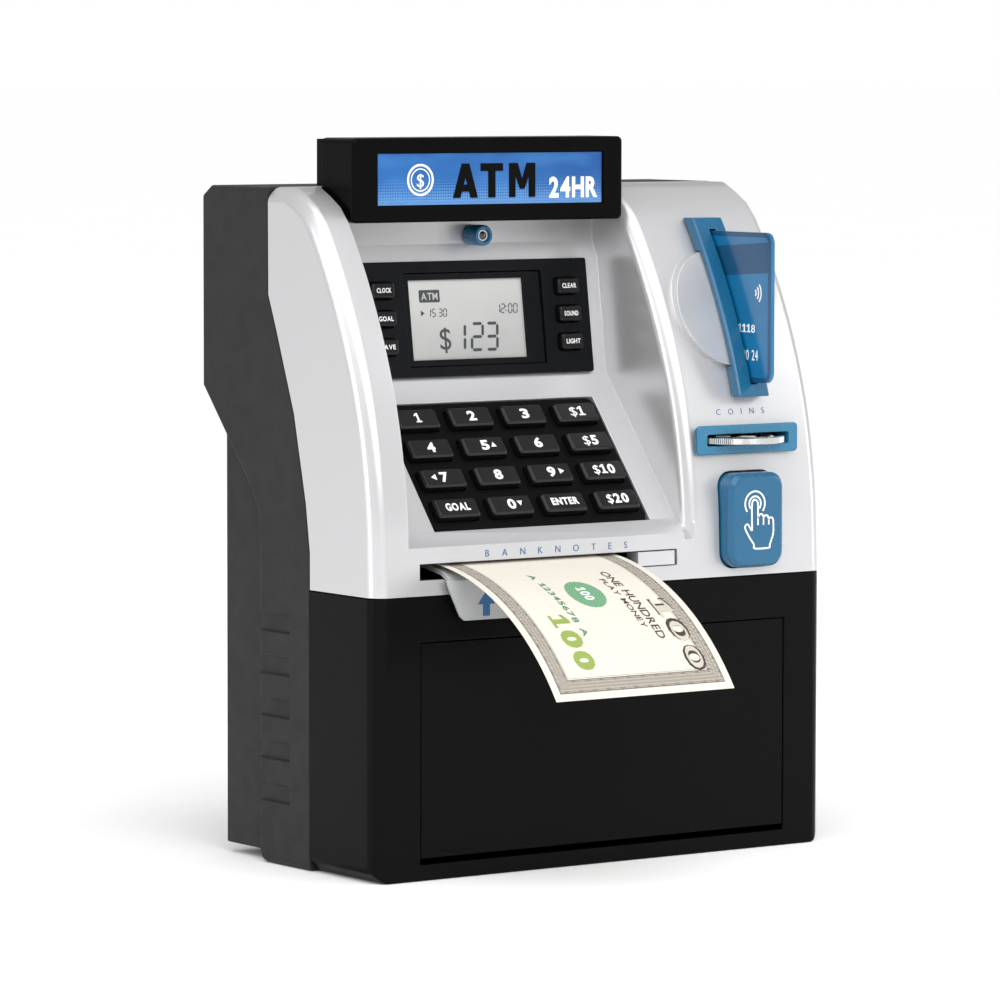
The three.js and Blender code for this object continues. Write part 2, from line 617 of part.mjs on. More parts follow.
// tray under the note: its tongue hangs out of the slot, and its cheeks carry the roller shaft
function noteGuide() {
  const drop = 1;
  const base = noteHeight(14) - 3.4;
  const top = [
    [-3.4, 90.6], [-1.5, noteHeight(-1.5) - drop - 1.4],
    [2, noteHeight(2) - drop - 0.4], [46, noteHeight(46) - drop],
  ];
  const under = offsetLine(top, 1.5).reverse();
  const tray = alongX([...top, ...under], NOTE_LEFT - 0.3, NOTE_RIGHT + 0.2);
  const tongueOutline = [
    [-62, 91.2], [-60.4, 87.1], [-57, 80], [-55.4, 78.7], [0, 78.7], [2.4, 80], [5, 87.1], [5.6, 91.2],
  ];
  const tongue = alongY(tongueOutline, -3.4, -2.2);
  let guide = union(tray, tongue);
  for (const [x0, x1] of [[-64.4, -62.6], [8.2, 10]]) {
    guide = guide.add(block(x0, x1, 23, 33, base, ROLLER_Z + 3));
    guide = guide.add(block(x0, x1 > 0 ? x1 : -58, 14, 34, base, base + 1.5));
  }
  guide = guide.add(block(0, 10, 14, 34, base, base + 1.5));
  guide = guide.add(block(8.2, 34, 30, 46, base, base + 1.5));
  // motor cradle
  guide = guide.add(block(19, 32, 30, 42, base, ROLLER_Z - 2));
  guide = cut(guide, rodX(6.3, 16, 40, MOTOR_Y, ROLLER_Z, 24));
  guide = cut(guide, rodX(SHAFT_RADIUS + GAP, -70, 12, ROLLER_Y, ROLLER_Z, 16));
  addPiece('note_guide', guide, 'grey');
}

function noteStop() {
  addPiece('note_edge_stop', block(12.2, 26.4, -0.2, 6, SLOT[2] + GAP, SLOT[3] - GAP), 'silver');
}

function feedRoller() {
  const rollers = [-44, -9].map((x) => rodX(ROLLER_RADIUS, x - 6, x + 6, ROLLER_Y, ROLLER_Z, 24));
  const shaft = rodX(SHAFT_RADIUS, -66, GEAR_X + GEAR_WIDTH + 1.5, ROLLER_Y, ROLLER_Z, 16);
  addPiece('feed_roller', union(shaft, ...rollers), 'rubber');
}

function gearOutline(teeth, phase, y, z) {
  const pitchRadius = teeth * GEAR_MODULE / 2;
  const [root, tip] = [pitchRadius - 1.2 * GEAR_MODULE, pitchRadius + 0.85 * GEAR_MODULE];
  const corners = [[-0.36, root], [-0.14, tip], [0.14, tip], [0.36, root]];
  const points = [];
  for (let tooth = 0; tooth < teeth; tooth += 1) {
    for (const [share, radius] of corners) {
      const angle = (tooth + phase + share * 0.8) * 2 * Math.PI / teeth;
      points.push([y + radius * Math.cos(angle), z + radius * Math.sin(angle)]);
    }
  }
  return points;
}

function feedGears() {
  let driven = alongX(gearOutline(ROLLER_TEETH, 0, ROLLER_Y, ROLLER_Z), GEAR_X, GEAR_X + GEAR_WIDTH);
  driven = cut(driven, rodX(SHAFT_RADIUS + GAP, GEAR_X - 1, GEAR_X + GEAR_WIDTH + 1, ROLLER_Y, ROLLER_Z, 16));
  addPiece('roller_gear', driven, 'nylon');
  // half a tooth of turn puts the pinion's gap opposite a tooth of the driven gear
  const pinion = alongX(gearOutline(PINION_TEETH, 0.5, MOTOR_Y, ROLLER_Z), GEAR_X, GEAR_X + GEAR_WIDTH);
  addPiece('motor_pinion', cut(pinion, rodX(1, GEAR_X + 0.6, GEAR_X + 5, MOTOR_Y, ROLLER_Z, 12)), 'nylon');
}

function feedMotor() {
  const can = rodX(6, 18.4, 33, MOTOR_Y, ROLLER_Z, 24);
  const nose = rodX(2.2, 17.4, 19, MOTOR_Y, ROLLER_Z, 16);
  const shaft = rodX(0.7, GEAR_X + 0.9, 18, MOTOR_Y, ROLLER_Z, 10);
  addPiece('feed_motor', union(can, nose, shaft), 'steel');
}

// ---------------------------------------------------------------- pod: coin, button, card

function coinPieces() {
  const face = alongY(roundRect(COIN_X, COIN_Z, 39.8, 9.2, 1.4), 0.4, 2.2, 0.4, 1, 2);
  const sleeve = alongY(roundRect(COIN_X, COIN_Z, 35.8, 6.6, 0.8), 1.8, 8, 0, 1, 2);
  const mouth = alongY(roundRect(COIN_X, COIN_Z, 32.2, 3.6, 0.6), -2, 12, 0, 1, 2);
  addPiece('coin_slot_bezel', cut(union(face, sleeve), mouth), 'blue');
  const coin = rodZ(COIN_RADIUS, COIN_Z - 1.3, COIN_Z + 0.8, COIN_X, COIN_Y, 40);
  addPiece('coin', coin, 'coin');
  // duct that takes the coin back and drops it into the cash compartment
  const [left, right] = [COIN_X - 16.6, COIN_X + 16.6];
  const outer = [[8.4, 136], [8.4, 126.2], [19, 126.2], [19, 92], [41.2, 92], [41.2, 136]];
  const inner = [[0, 134.6], [0, 127.7], [20.6, 127.7], [20.6, 80], [39.6, 80], [39.6, 134.6]];
  addPiece('coin_chute', cut(alongX(outer, left - 1.6, right + 1.6), alongX(inner, left, right)), 'grey');
}

function fingerprintButton() {
  const cap = alongY(roundRect(BUTTON_X, BUTTON_Z, 21.6, 29.6, 4.8), -4.8, 5.6, 1.4, 1, 3);
  const flange = alongY(roundRect(BUTTON_X, BUTTON_Z, 25, 33, 5), 5.2, 6.8, 0, 1, 2);
  addPiece('fingerprint_button', union(cap, flange), 'blue');
}

// outline of a band that follows the curved face, between two heights above it
function faceBand(outer, inner) {
  const face = frontLine.filter(([, z]) => z > 132 && z < 206);
  return [...offsetLine(face, -outer), ...offsetLine(face, -inner).reverse()];
}

function readerDisc(radius, height) {
  return rodY(radius, -20, 60, ...DISC_CENTRE, 48).intersect(alongX(faceBand(height, -0.5), 20, 84));
}

// the card reader's frame follows the curved face and steps over the round boss
function cardReader() {
  const [left, right] = [CARD_X - 6.6, CARD_X + 5.4];
  let bezel = alongX(faceBand(READER_RAISE, GAP), left, right, 0.5);
  bezel = bezel.intersect(block(left - 1, right + 1, -30, 60, 142.6, 198.2));
  bezel = cut(bezel, readerDisc(DISC_RADIUS + GAP, DISC_RAISE + GAP));
  const sleeve = block(CARD_X - 4, CARD_X + 4, 2, 34, 144.9, 196.1);
  bezel = bezel.add(sleeve.intersect(alongX(faceBand(DISC_RAISE + 1, -12), 40, 80)));
  bezel = cut(bezel, block(CARD_X - 1.3, CARD_X + 1.3, -30, 80, CARD_BOTTOM - 0.5, CARD_TOP + 0.5));
  addPiece('card_reader_bezel', bezel, 'blue');
}

function bankCard() {
  const half = (CARD_TOP - CARD_BOTTOM) / 2;
  const centre = [CARD_FRONT + CARD_LENGTH / 2, CARD_BOTTOM + half];
  const outline = roundRect(...centre, CARD_LENGTH, 2 * half, 3.2);
  addPiece('bank_card', alongX(outline, CARD_X - 0.7, CARD_X + 0.7, 0, 1, 5), 'card');
}

// ---------------------------------------------------------------- door, its hinge and its lock

function door() {
  let leaf = block(DOOR_LEFT, DOOR_RIGHT, 0.2, 2.7, DOOR_BOTTOM, DOOR_TOP);
  const rib = 1.8;
  const [z0, z1] = [13, DOOR_TOP - 0.4];
  const rim = block(DOOR_LEFT + 1, DOOR_RIGHT - 1, 2, 6, z0, z1);
  leaf = leaf.add(cut(rim, block(DOOR_LEFT + 1 + rib, DOOR_RIGHT - 1 - rib, 1, 8, z0 + rib, z1 - rib)));
  for (const [x0, x1] of [[-68, -56], [-30, -18], [18, 30], [56, 68]]) {
    leaf = leaf.add(rodX(2.5, x0, x1, HINGE_Y, HINGE_Z, 16));
  }
  leaf = cut(leaf, rodX(PIN_RADIUS + GAP, -80, 80, HINGE_Y, HINGE_Z, 16));
  addPiece('door', leaf, 'black');
  const strike = cut(block(-8, 8, 3, 13, 67.5, 69.7), block(-3.8, 3.8, 6, 11.2, 66, 75));
  addPiece('door_strike', strike, 'nylon');
  const pin = rodX(PIN_RADIUS, OPENING[0] - 1.6, OPENING[1] + 1.6, HINGE_Y, HINGE_Z, 14);
  addPiece('door_hinge_pin', pin, 'steel');
}

function doorLock() {
  let coil = block(-9, 9, 2.8, 14.4, 76, 82.6);
  coil = cut(coil, block(-3.4, 3.4, 6.2, 10.9, 70, 90));
  addPiece('latch_solenoid', coil, 'steel');
  const head = block(-4.4, 4.4, 5.4, 11.7, 86.6, 88);
  addPiece('door_latch', union(block(-3, 3, 6.6, 10.5, 71.2, 88), head), 'nylon');
}

// ---------------------------------------------------------------- electronics and battery cover

function electronics() {
  let board = block(-66, 28, 60.5, 62.1, 112, 190);
  const chips = [[-40, 150, 14, 14, 2], [-10, 160, 18, 9, 3], [10, 130, 10, 12, 7], [-50, 125, 12, 16, 5]];
  for (const [x, z, w, h, d] of chips) {
    board = board.add(block(x - w / 2, x + w / 2, 61.5, 62.1 + d, z - h / 2, z + h / 2));
  }
  addPiece('main_board', board, 'board');
  const magnet = rodY(9, 78, 84, GRILLE.x, GRILLE.z, 24);
  const basket = rodY(17, 83.5, 91.5, GRILLE.x, GRILLE.z, 32);
  const cone = rodY(14.5, 87, 95, GRILLE.x, GRILLE.z, 32);
  addPiece('speaker', union(magnet, cut(basket, cone)), 'rubber');
}

function batteryCover() {
  const middle = (BATTERY.bottom + BATTERY.top) / 2;
  let cover = alongY(roundRect(0, middle, 59.4, 63.4, 1.8), BOX_BACK - 1.3, BOX_BACK);
  for (const z of [BATTERY.bottom + 0.6, BATTERY.top - 2.2]) {
    cover = cover.add(block(-20, 20, BOX_BACK - 6, BOX_BACK - 1, z, z + 1.6));
  }
  for (const z of [middle + 20, middle + 22.4, middle + 24.8]) {
    cover = cut(cover, block(-8, 8, BOX_BACK - 0.6, BOX_BACK + 1, z - 0.5, z + 0.5));
  }
  addPiece('battery_cover', cover, 'charcoal');
}

rearShell();
frontFascia();
lowerFront();
caseScrews();
sign();
camera();
screen();
sideKeys();
keypad();
banknote();
noteGuide();
noteStop();
feedRoller();
feedGears();
feedMotor();
coinPieces();
fingerprintButton();
cardReader();
bankCard();
door();
doorLock();
electronics();
batteryCover();

export default bank;
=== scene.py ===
"""Looks of the toy ATM savings bank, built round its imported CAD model.

Sizes are in millimetres in the CAD frame's own terms: x to the right, y the depth behind the front plane, z up.
"""

import json
import math

import bmesh
import bpy
from mathutils import Matrix, Vector
from mathutils.bvhtree import BVHTree

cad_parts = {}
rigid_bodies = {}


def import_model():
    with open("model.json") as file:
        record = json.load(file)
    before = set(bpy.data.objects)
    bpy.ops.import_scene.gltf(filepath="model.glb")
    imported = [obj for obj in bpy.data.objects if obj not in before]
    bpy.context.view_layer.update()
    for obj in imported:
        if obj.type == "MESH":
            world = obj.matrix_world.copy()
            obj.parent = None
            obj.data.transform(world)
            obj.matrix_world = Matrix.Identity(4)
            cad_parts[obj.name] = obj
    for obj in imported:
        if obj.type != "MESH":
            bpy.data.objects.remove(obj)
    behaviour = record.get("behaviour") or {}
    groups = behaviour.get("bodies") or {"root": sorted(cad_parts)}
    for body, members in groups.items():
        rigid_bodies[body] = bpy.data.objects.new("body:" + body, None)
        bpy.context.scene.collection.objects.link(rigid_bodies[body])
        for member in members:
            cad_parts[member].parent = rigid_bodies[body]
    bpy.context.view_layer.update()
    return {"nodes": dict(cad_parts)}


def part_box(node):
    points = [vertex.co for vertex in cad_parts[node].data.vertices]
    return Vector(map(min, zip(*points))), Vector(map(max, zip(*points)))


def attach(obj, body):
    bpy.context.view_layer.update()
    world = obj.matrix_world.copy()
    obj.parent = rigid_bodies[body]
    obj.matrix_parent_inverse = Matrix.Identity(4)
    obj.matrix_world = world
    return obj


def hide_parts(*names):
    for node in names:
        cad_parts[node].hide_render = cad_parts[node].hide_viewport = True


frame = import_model()
NODES = frame["nodes"]

MM = 0.001
DEPTH_TO_ORIGIN = 45.0
HOUSING = "housing"

# keypad and screen planes: a point (x, depth, z) and the slope in degrees
KEYPAD_FOOT = (-18.8, 7.0, 105.4)
KEYPAD_TILT = math.degrees(math.atan2(142 - 105.4, 37.4 - 7))
KEY_PITCH = (20.2, 11.25)
KEY_FIRST_ROW = 7.1
KEY_TOP = 2.2
SCREEN_FOOT = (-17.8, 42.1, 149.8)
SCREEN_TILT = 82.015
LCD_TOP = -1.8
# part of the display that its black mask leaves open, the mask's rise, and the window around it
# (half width, low, high)
LCD_SHOWN = (-24.2, 5.4, 19.4, 30.4)
LCD_MASK_RISE = 0.9
LCD_WINDOW = (25.7, 3.5, 32.2)
SIDE_KEY_X = 35.3
SIDE_KEY_ROWS = (9.7, 18.5, 27.3)
SIDE_KEY_TOP = 2.0

# the pod's bevel beside the recess starts at this height
POD_BEVEL_FROM = 101.5

# banknote: its left edge, width, and the curve that it hangs in
NOTE_LEFT = -60.3
NOTE_WIDTH = 66.1
NOTE_MOUTH = (-0.7, 94.8)
NOTE_SLOPE = math.radians(9)
NOTE_END_SLOPE = math.radians(55)
NOTE_RADIUS = 85.6
NOTE_INSIDE = 44.0
NOTE_THICKNESS = 0.16

SIGN_FACE = 33.8
CAMERA_PLACE = (-15.5, 193.4)
CAMERA_FRONT = 43.6
COIN_CENTRE = (55.6, 7.0, 129.25)
COIN_RADIUS = 15.3
COIN_HALF = 1.05
BUTTON_PLACE = (55.6, 104.3)
BUTTON_FRONT = -4.8
CARD_SIDES = (59.3, 60.7)
SCREW_HEADS = {
    "upper_left": (-79.2, 86.8, 200.0), "upper_right": (79.2, 86.8, 200.0),
    "lower_left": (-75.0, 62.8, 11.0), "lower_right": (75.0, 62.8, 11.0),
}


# ---------------------------------------------------------------- places and planes

def plane(origin, right, up):
    """Matrix from millimetres on a plane (right, up, outward) to metres in the row frame."""
    x, y, z = origin
    right, up = Vector(right).normalized(), Vector(up).normalized()
    matrix = Matrix((right, up, right.cross(up))).transposed().to_4x4()
    return Matrix.Translation(Vector((x, y - DEPTH_TO_ORIGIN, z)) * MM) @ matrix @ Matrix.Scale(MM, 4)


def slope(degrees):
    return (0, math.cos(math.radians(degrees)), math.sin(math.radians(degrees)))


def front_plane(x, y, z):
    return plane((x, y, z), (1, 0, 0), (0, 0, 1))


KEYPAD = plane(KEYPAD_FOOT, (1, 0, 0), slope(KEYPAD_TILT))
SCREEN = plane(SCREEN_FOOT, (1, 0, 0), slope(SCREEN_TILT))


def note_point(x, v, h):
    """Point of the hanging note: x across from its left edge, v up from its free end, h above its middle."""
    arc = NOTE_RADIUS * (NOTE_END_SLOPE - NOTE_SLOPE) - v
    angle = NOTE_SLOPE + max(arc, 0) / NOTE_RADIUS
    back = min(arc, 0)
    y = NOTE_MOUTH[0] - NOTE_RADIUS * (math.sin(angle) - math.sin(NOTE_SLOPE)) - back * math.cos(NOTE_SLOPE)
    z = NOTE_MOUTH[1] - NOTE_RADIUS * (math.cos(NOTE_SLOPE) - math.cos(angle)) - back * math.sin(NOTE_SLOPE)
    y -= h * math.sin(angle)
    z += h * math.cos(angle)
    return Vector((NOTE_LEFT + x, y - DEPTH_TO_ORIGIN, z)) * MM


# ---------------------------------------------------------------- materials

class Finish:
    """A node material in the making, with short calls for the nodes it uses."""

    def __init__(self, name, **shader):
        self.material = bpy.data.materials.new(name)
        self.material.use_nodes = True
        self.tree = self.material.node_tree
        self.shader = self.tree.nodes["Principled BSDF"]
        self.place = self.node("ShaderNodeTexCoord").outputs["Object"]
        for key, value in shader.items():
            self.shader.inputs[key.replace("_", " ")].default_value = value

    def node(self, kind, **settings):
        made = self.tree.nodes.new(kind)
        for key, value in settings.items():
            setattr(made, key, value)
        return made

    def feed(self, socket, value):
        if isinstance(value, bpy.types.NodeSocket):
            self.tree.links.new(value, socket)
        else:
            socket.default_value = value

    def math(self, operation, a, b=0.0):
        made = self.node("ShaderNodeMath", operation=operation)
        self.feed(made.inputs[0], a)
        self.feed(made.inputs[1], b)
        return made.outputs[0]

    def noise(self, scale, detail=2.0, stretch=(1, 1, 1), kind="ShaderNodeTexNoise"):
        mapping = self.node("ShaderNodeMapping")
        self.feed(mapping.inputs["Vector"], self.place)
        mapping.inputs["Scale"].default_value = stretch
        made = self.node(kind)
        self.feed(made.inputs["Vector"], mapping.outputs[0])
        made.inputs["Scale"].default_value = scale
        made.inputs["Detail"].default_value = detail
        return made.outputs[0]

    def spread(self, value, low, high, start=0.3, end=0.7):
        """value between start and end, stretched to low and high."""
        made = self.node("ShaderNodeMapRange")
        for socket, number in zip(made.inputs, (value, start, end, low, high)):
            self.feed(socket, number)
        return made.outputs[0]

    def mix(self, factor, a, b):
        made = self.node("ShaderNodeMix", data_type="RGBA")
        self.feed(made.inputs["Factor"], factor)
        self.feed(made.inputs[6], a)
        self.feed(made.inputs[7], b)
        return made.outputs[2]

    def axis(self, name, source=None):
        made = self.node("ShaderNodeSeparateXYZ")
        self.feed(made.inputs[0], source or self.place)
        return made.outputs[name]

    def colour(self, value):
        self.feed(self.shader.inputs["Base Color"], value)

    def roughness(self, value):
        self.feed(self.shader.inputs["Roughness"], value)

    def bump(self, height, strength, distance):
        made = self.node("ShaderNodeBump")
        made.inputs["Strength"].default_value = strength
        made.inputs["Distance"].default_value = distance
        self.feed(made.inputs["Height"], height)
        self.feed(self.shader.inputs["Normal"], made.outputs[0])


def shade(colour, factor):
    return tuple(min(1.0, c * factor) for c in colour[:3]) + (1.0,)


def moulded(name, colour, roughness=0.42, grain=1400.0, depth=0.00002, variation=0.12, strength=0.35, **shader):
    """Moulded or painted plastic: faint colour clouds, uneven gloss and a fine grain in relief."""
    finish = Finish(name, **shader)
    clouds = finish.noise(38.0, 3.0)
    finish.colour(finish.mix(clouds, shade(colour, 1 - variation), shade(colour, 1 + variation)))
    finish.roughness(finish.spread(finish.noise(160.0, 4.0), roughness * 0.88, roughness * 1.12))
    finish.bump(finish.noise(grain, 2.0), strength, depth)
    return finish.material


def painted_silver(name, colour):
    """Silver paint on plastic, with its fine flake; the flake's specks are mixed towards white in the colour as
    painted glints.
    """
    finish = Finish(name, Metallic=0.55, Coat_Weight=0.15, Coat_Roughness=0.2)
    flake = finish.noise(3000.0, 1.0)
    clouds = finish.noise(30.0, 2.0)
    base = finish.mix(clouds, shade(colour, 0.985), shade(colour, 1.015))
    # painted glint: bright specks of the flake stand in for the light it catches
    painted_flake_glint = finish.spread(flake, 0.0, 0.05, 0.4, 0.75)
    finish.colour(finish.mix(painted_flake_glint, base, (1, 1, 1, 1)))
    finish.roughness(finish.spread(finish.noise(90.0, 2.0), 0.30, 0.315))
    finish.bump(flake, 0.02, 0.00001)
    return finish.material


def metal(name, colour, roughness, stretch=(1, 1, 1), scale=900.0):
    """Bare metal with fine drawn or turned marks."""
    finish = Finish(name, Metallic=1.0)
    marks = finish.noise(scale, 3.0, stretch)
    finish.colour(finish.mix(marks, shade(colour, 0.86), shade(colour, 1.08)))
    finish.roughness(finish.spread(marks, roughness * 0.8, roughness * 1.25))
    finish.bump(marks, 0.25, 0.00001)
    return finish.material


def circuit_board(name):
    """Green board with a pattern of tracks and tinned pads."""
    finish = Finish(name, Coat_Weight=0.3)
    cells = finish.noise(160.0, 0.0, kind="ShaderNodeTexVoronoi")
    track = finish.math("LESS_THAN", finish.math("ABSOLUTE", finish.math("SINE", finish.axis("Z"), 0.0)), 0.5)
    pads = finish.math("LESS_THAN", cells, 0.12)
    green = finish.mix(finish.noise(420.0, 2.0), (0.006, 0.07, 0.03, 1), (0.015, 0.16, 0.06, 1))
    green = finish.mix(finish.math("MULTIPLY", track, 0.15), green, (0.03, 0.28, 0.1, 1))
    finish.colour(finish.mix(pads, green, (0.62, 0.6, 0.55, 1)))
    finish.roughness(finish.spread(cells, 0.3, 0.5))
    finish.bump(cells, 0.3, 0.0001)
    return finish.material


def sign_panel(name):
    """Lit blue panel, lighter at its left end and darker towards its right, with a fade of halftone dots along its
    foot.
    """
    finish = Finish(name, Specular_IOR_Level=0.3)
    across, height = finish.axis("X"), finish.axis("Z")
    sky = finish.mix(finish.spread(across, 0.0, 1.0, -0.06, 0.02), (0.014, 0.105, 0.32, 1), (0.008, 0.07, 0.24, 1))
    wave = finish.noise(42.0, 2.0, (1, 1, 2.6))
    sky = finish.mix(finish.spread(wave, 0.0, 0.4, 0.45, 0.62), sky, (0.036, 0.17, 0.44, 1))
    pitch = 0.0009
    cell_x = finish.math("SUBTRACT", finish.math("PINGPONG", across, pitch), pitch / 2)
    cell_z = finish.math("SUBTRACT", finish.math("PINGPONG", height, pitch), pitch / 2)
    square = finish.math("ADD", finish.math("MULTIPLY", cell_x, cell_x), finish.math("MULTIPLY", cell_z, cell_z))
    distance = finish.math("SQRT", square)
    size = finish.spread(height, 0.00056, 0.0, 0.2032, 0.2135)
    dots = finish.math("LESS_THAN", distance, size)
    finish.colour(finish.mix(finish.math("MULTIPLY", dots, 0.55), sky, (0.16, 0.34, 0.62, 1)))
    finish.roughness(finish.spread(wave, 0.25, 0.34))
    finish.feed(finish.shader.inputs["Emission Color"], (0.05, 0.25, 0.75, 1))
    finish.shader.inputs["Emission Strength"].default_value = 0.06
    return finish.material


def display_glass(name):
    """Grey reflective liquid-crystal panel, lighter towards its top as painted light, with the faint grid of its
    cells.
    """
    finish = Finish(name, Coat_Weight=0.6, Coat_Roughness=0.08)
    height = finish.axis("Z")
    # painted light: the panel's colour runs from darker at its foot to lighter at its top, as light falls on it
    tone_and_painted_light = finish.mix(finish.spread(height, 0.0, 1.0, 0.154, 0.181), (0.33, 0.335, 0.33, 1), (0.53, 0.535, 0.525, 1))
    clouds = finish.noise(55.0, 2.0)
    tone_and_painted_light = finish.mix(finish.spread(clouds, 0.0, 0.25), tone_and_painted_light, (0.60, 0.60, 0.585, 1))
    finish.colour(tone_and_painted_light)
    finish.roughness(finish.spread(clouds, 0.18, 0.26))
    finish.bump(finish.noise(2400.0, 0.0, kind="ShaderNodeTexVoronoi"), 0.06, 0.00002)
    return finish.material


def clear_blue(name, colour, alpha=0.92, transmission=0.35):
    """Tinted clear plastic, with faint flow marks."""
    finish = Finish(name, Transmission_Weight=transmission, Coat_Weight=0.4, Coat_Roughness=0.06, Alpha=alpha)
    flow = finish.noise(46.0, 2.0, (1, 1, 2))
    finish.colour(finish.mix(flow, shade(colour, 0.8), shade(colour, 1.22)))
    finish.roughness(finish.spread(flow, 0.16, 0.26))
    finish.bump(finish.noise(320.0, 2.0), 0.05, 0.00004)
    return finish.material


def ink(name, colour, roughness=0.5, **shader):
    """Printed ink, a little uneven in cover."""
    finish = Finish(name, **shader)
    cover = finish.noise(1800.0, 2.0)
    finish.colour(finish.mix(finish.spread(cover, 0.0, 1.0), shade(colour, 0.9), shade(colour, 1.06)))
    finish.roughness(finish.spread(cover, roughness * 0.9, roughness * 1.1))
    return finish.material


def note_paper(name):
    """Play banknote: cream paper, a plain margin, an engraved border of fine waves, and a tinted middle."""
    finish = Finish(name)
    coordinates = finish.node("ShaderNodeUVMap", uv_map="sheet").outputs[0]
    u, v = finish.axis("X", coordinates), finish.axis("Y", coordinates)
    u = finish.math("MULTIPLY", u, NOTE_WIDTH)
    v = finish.math("MULTIPLY", v, 100.0)
    from_left = u
    from_right = finish.math("SUBTRACT", NOTE_WIDTH, u)
    edge = finish.math("MINIMUM", finish.math("MINIMUM", from_left, from_right), v)
    along = finish.math("ADD", u, v)

    def between(value, low, high):
        above = finish.math("GREATER_THAN", value, low)
        return finish.math("MULTIPLY", above, finish.math("LESS_THAN", value, high))

    def line(value, centre, width):
        gap = finish.math("ABSOLUTE", finish.math("SUBTRACT", value, centre))
        return finish.math("LESS_THAN", gap, width)

    def waves(period, phase, swing, middle):
        turn = finish.math("MULTIPLY", along, 2 * math.pi / period)
        height = finish.math("MULTIPLY", finish.math("SINE", finish.math("ADD", turn, phase)), swing)
        gap = finish.math("ABSOLUTE", finish.math("SUBTRACT", finish.math("SUBTRACT", edge, middle), height))
        return finish.math("LESS_THAN", gap, 0.2)

    grain = finish.noise(900.0, 4.0)
    paper = finish.mix(grain, (0.60, 0.57, 0.50, 1), (0.70, 0.67, 0.60, 1))
    tint = between(edge, 7.6, 100.0)
    slant = finish.math("SUBTRACT", u, finish.math("MULTIPLY", v, 0.6))
    fine = finish.math("SINE", finish.math("MULTIPLY", slant, 9.0))
    tint = finish.math("MULTIPLY", tint, finish.spread(fine, 0.05, 0.22, -1.0, 1.0))
    paper = finish.mix(tint, paper, (0.62, 0.56, 0.44, 1))
    band = between(edge, 2.6, 6.9)
    weave = waves(3.4, 0.0, 1.6, 4.75)
    for period, phase, swing in ((3.4, math.pi, 1.6), (1.7, 0.5, 0.8), (1.7, 3.6, 0.8), (5.1, 1.2, 1.9)):
        weave = finish.math("MAXIMUM", weave, waves(period, phase, swing, 4.75))
    marks = finish.math("MULTIPLY", weave, band)
    for centre, width in ((2.6, 0.22), (3.1, 0.09), (6.4, 0.09), (6.9, 0.2), (7.5, 0.07)):
        marks = finish.math("MAXIMUM", marks, line(edge, centre, width))
    backing = finish.math("MULTIPLY", band, 0.5)
    paper = finish.mix(backing, paper, (0.30, 0.25, 0.20, 1))
    finish.colour(finish.mix(finish.math("MULTIPLY", marks, 0.86), paper, (0.075, 0.058, 0.045, 1)))
    finish.roughness(finish.spread(grain, 0.68, 0.82))
    finish.bump(grain, 0.2, 0.00003)
    return finish.material


def note_seal(name):
    """Green rosette ink: rings crossed by rays."""
    finish = Finish(name)
    coordinates = finish.node("ShaderNodeUVMap", uv_map="sheet").outputs[0]
    u, v = finish.axis("X", coordinates), finish.axis("Y", coordinates)
    radius = finish.math("SQRT", finish.math("ADD", finish.math("MULTIPLY", u, u), finish.math("MULTIPLY", v, v)))
    angle = finish.math("ARCTAN2", v, u)
    petals = finish.math("MULTIPLY", finish.math("SINE", finish.math("MULTIPLY", angle, 24.0)), 0.05)
    rings = finish.math("SINE", finish.math("MULTIPLY", finish.math("ADD", radius, petals), 46.0))
    pattern = finish.spread(rings, 0.0, 1.0, -0.4, 0.6)
    finish.colour(finish.mix(pattern, (0.05, 0.22, 0.10, 1), (0.24, 0.42, 0.26, 1)))
    finish.roughness(finish.spread(pattern, 0.6, 0.75))
    return finish.material


REAR_BLACK = moulded("rear_black", (0.018, 0.018, 0.0185), 0.55, grain=900.0, depth=0.00005, strength=0.5,
                     Specular_IOR_Level=0.2)
FRONT_BLACK = moulded("front_black", (0.0028, 0.0028, 0.003), 0.32, grain=1500.0, Specular_IOR_Level=0.06)
SIGN_BLACK = moulded("sign_black", (0.002, 0.002, 0.0023), 0.24, Specular_IOR_Level=0.05)
SILVER = painted_silver("silver_plastic", (0.56, 0.56, 0.57))
BEZEL_BLACK = moulded("bezel_black", (0.005, 0.0055, 0.007), 0.30, grain=1300.0, Specular_IOR_Level=0.1)
KEY_BLACK = moulded("key_black", (0.006, 0.006, 0.0065), 0.2, grain=1600.0, Specular_IOR_Level=0.35)
PAD_BLACK = moulded("pad_black", (0.0025, 0.0025, 0.0028), 0.38, grain=1200.0, Specular_IOR_Level=0.06)
BLUE = moulded("blue_plastic", (0.003, 0.095, 0.20), 0.26, grain=1500.0, Coat_Weight=0.15, Coat_Roughness=0.1)
BEZEL_BLUE = moulded("bezel_blue", (0.018, 0.15, 0.27), 0.26, grain=1500.0, Coat_Weight=0.15)
CARD_BLUE = clear_blue("card_blue", (0.001, 0.13, 0.30), 1.0, 0.05)
CARD_EDGE = moulded("card_edge_blue", (0.002, 0.055, 0.14), 0.24, Coat_Weight=0.2)
SIGN_BLUE = sign_panel("sign_blue")
LCD = display_glass("lcd_glass")
PAPER = note_paper("note_paper")
SEAL = note_seal("note_seal")
GUIDE = moulded("guide_grey", (0.40, 0.41, 0.42), 0.4)
RUBBER = moulded("rubber_black", (0.02, 0.02, 0.02), 0.75, grain=700.0, depth=0.0001)
NYLON = moulded("nylon_white", (0.70, 0.68, 0.62), 0.45, Subsurface_Weight=0.05)
STEEL = metal("steel", (0.52, 0.53, 0.54), 0.32, (1, 1, 8))
COIN_SILVER = metal("coin_silver", (0.66, 0.66, 0.65), 0.22, scale=420.0)
BOARD = circuit_board("board_green")
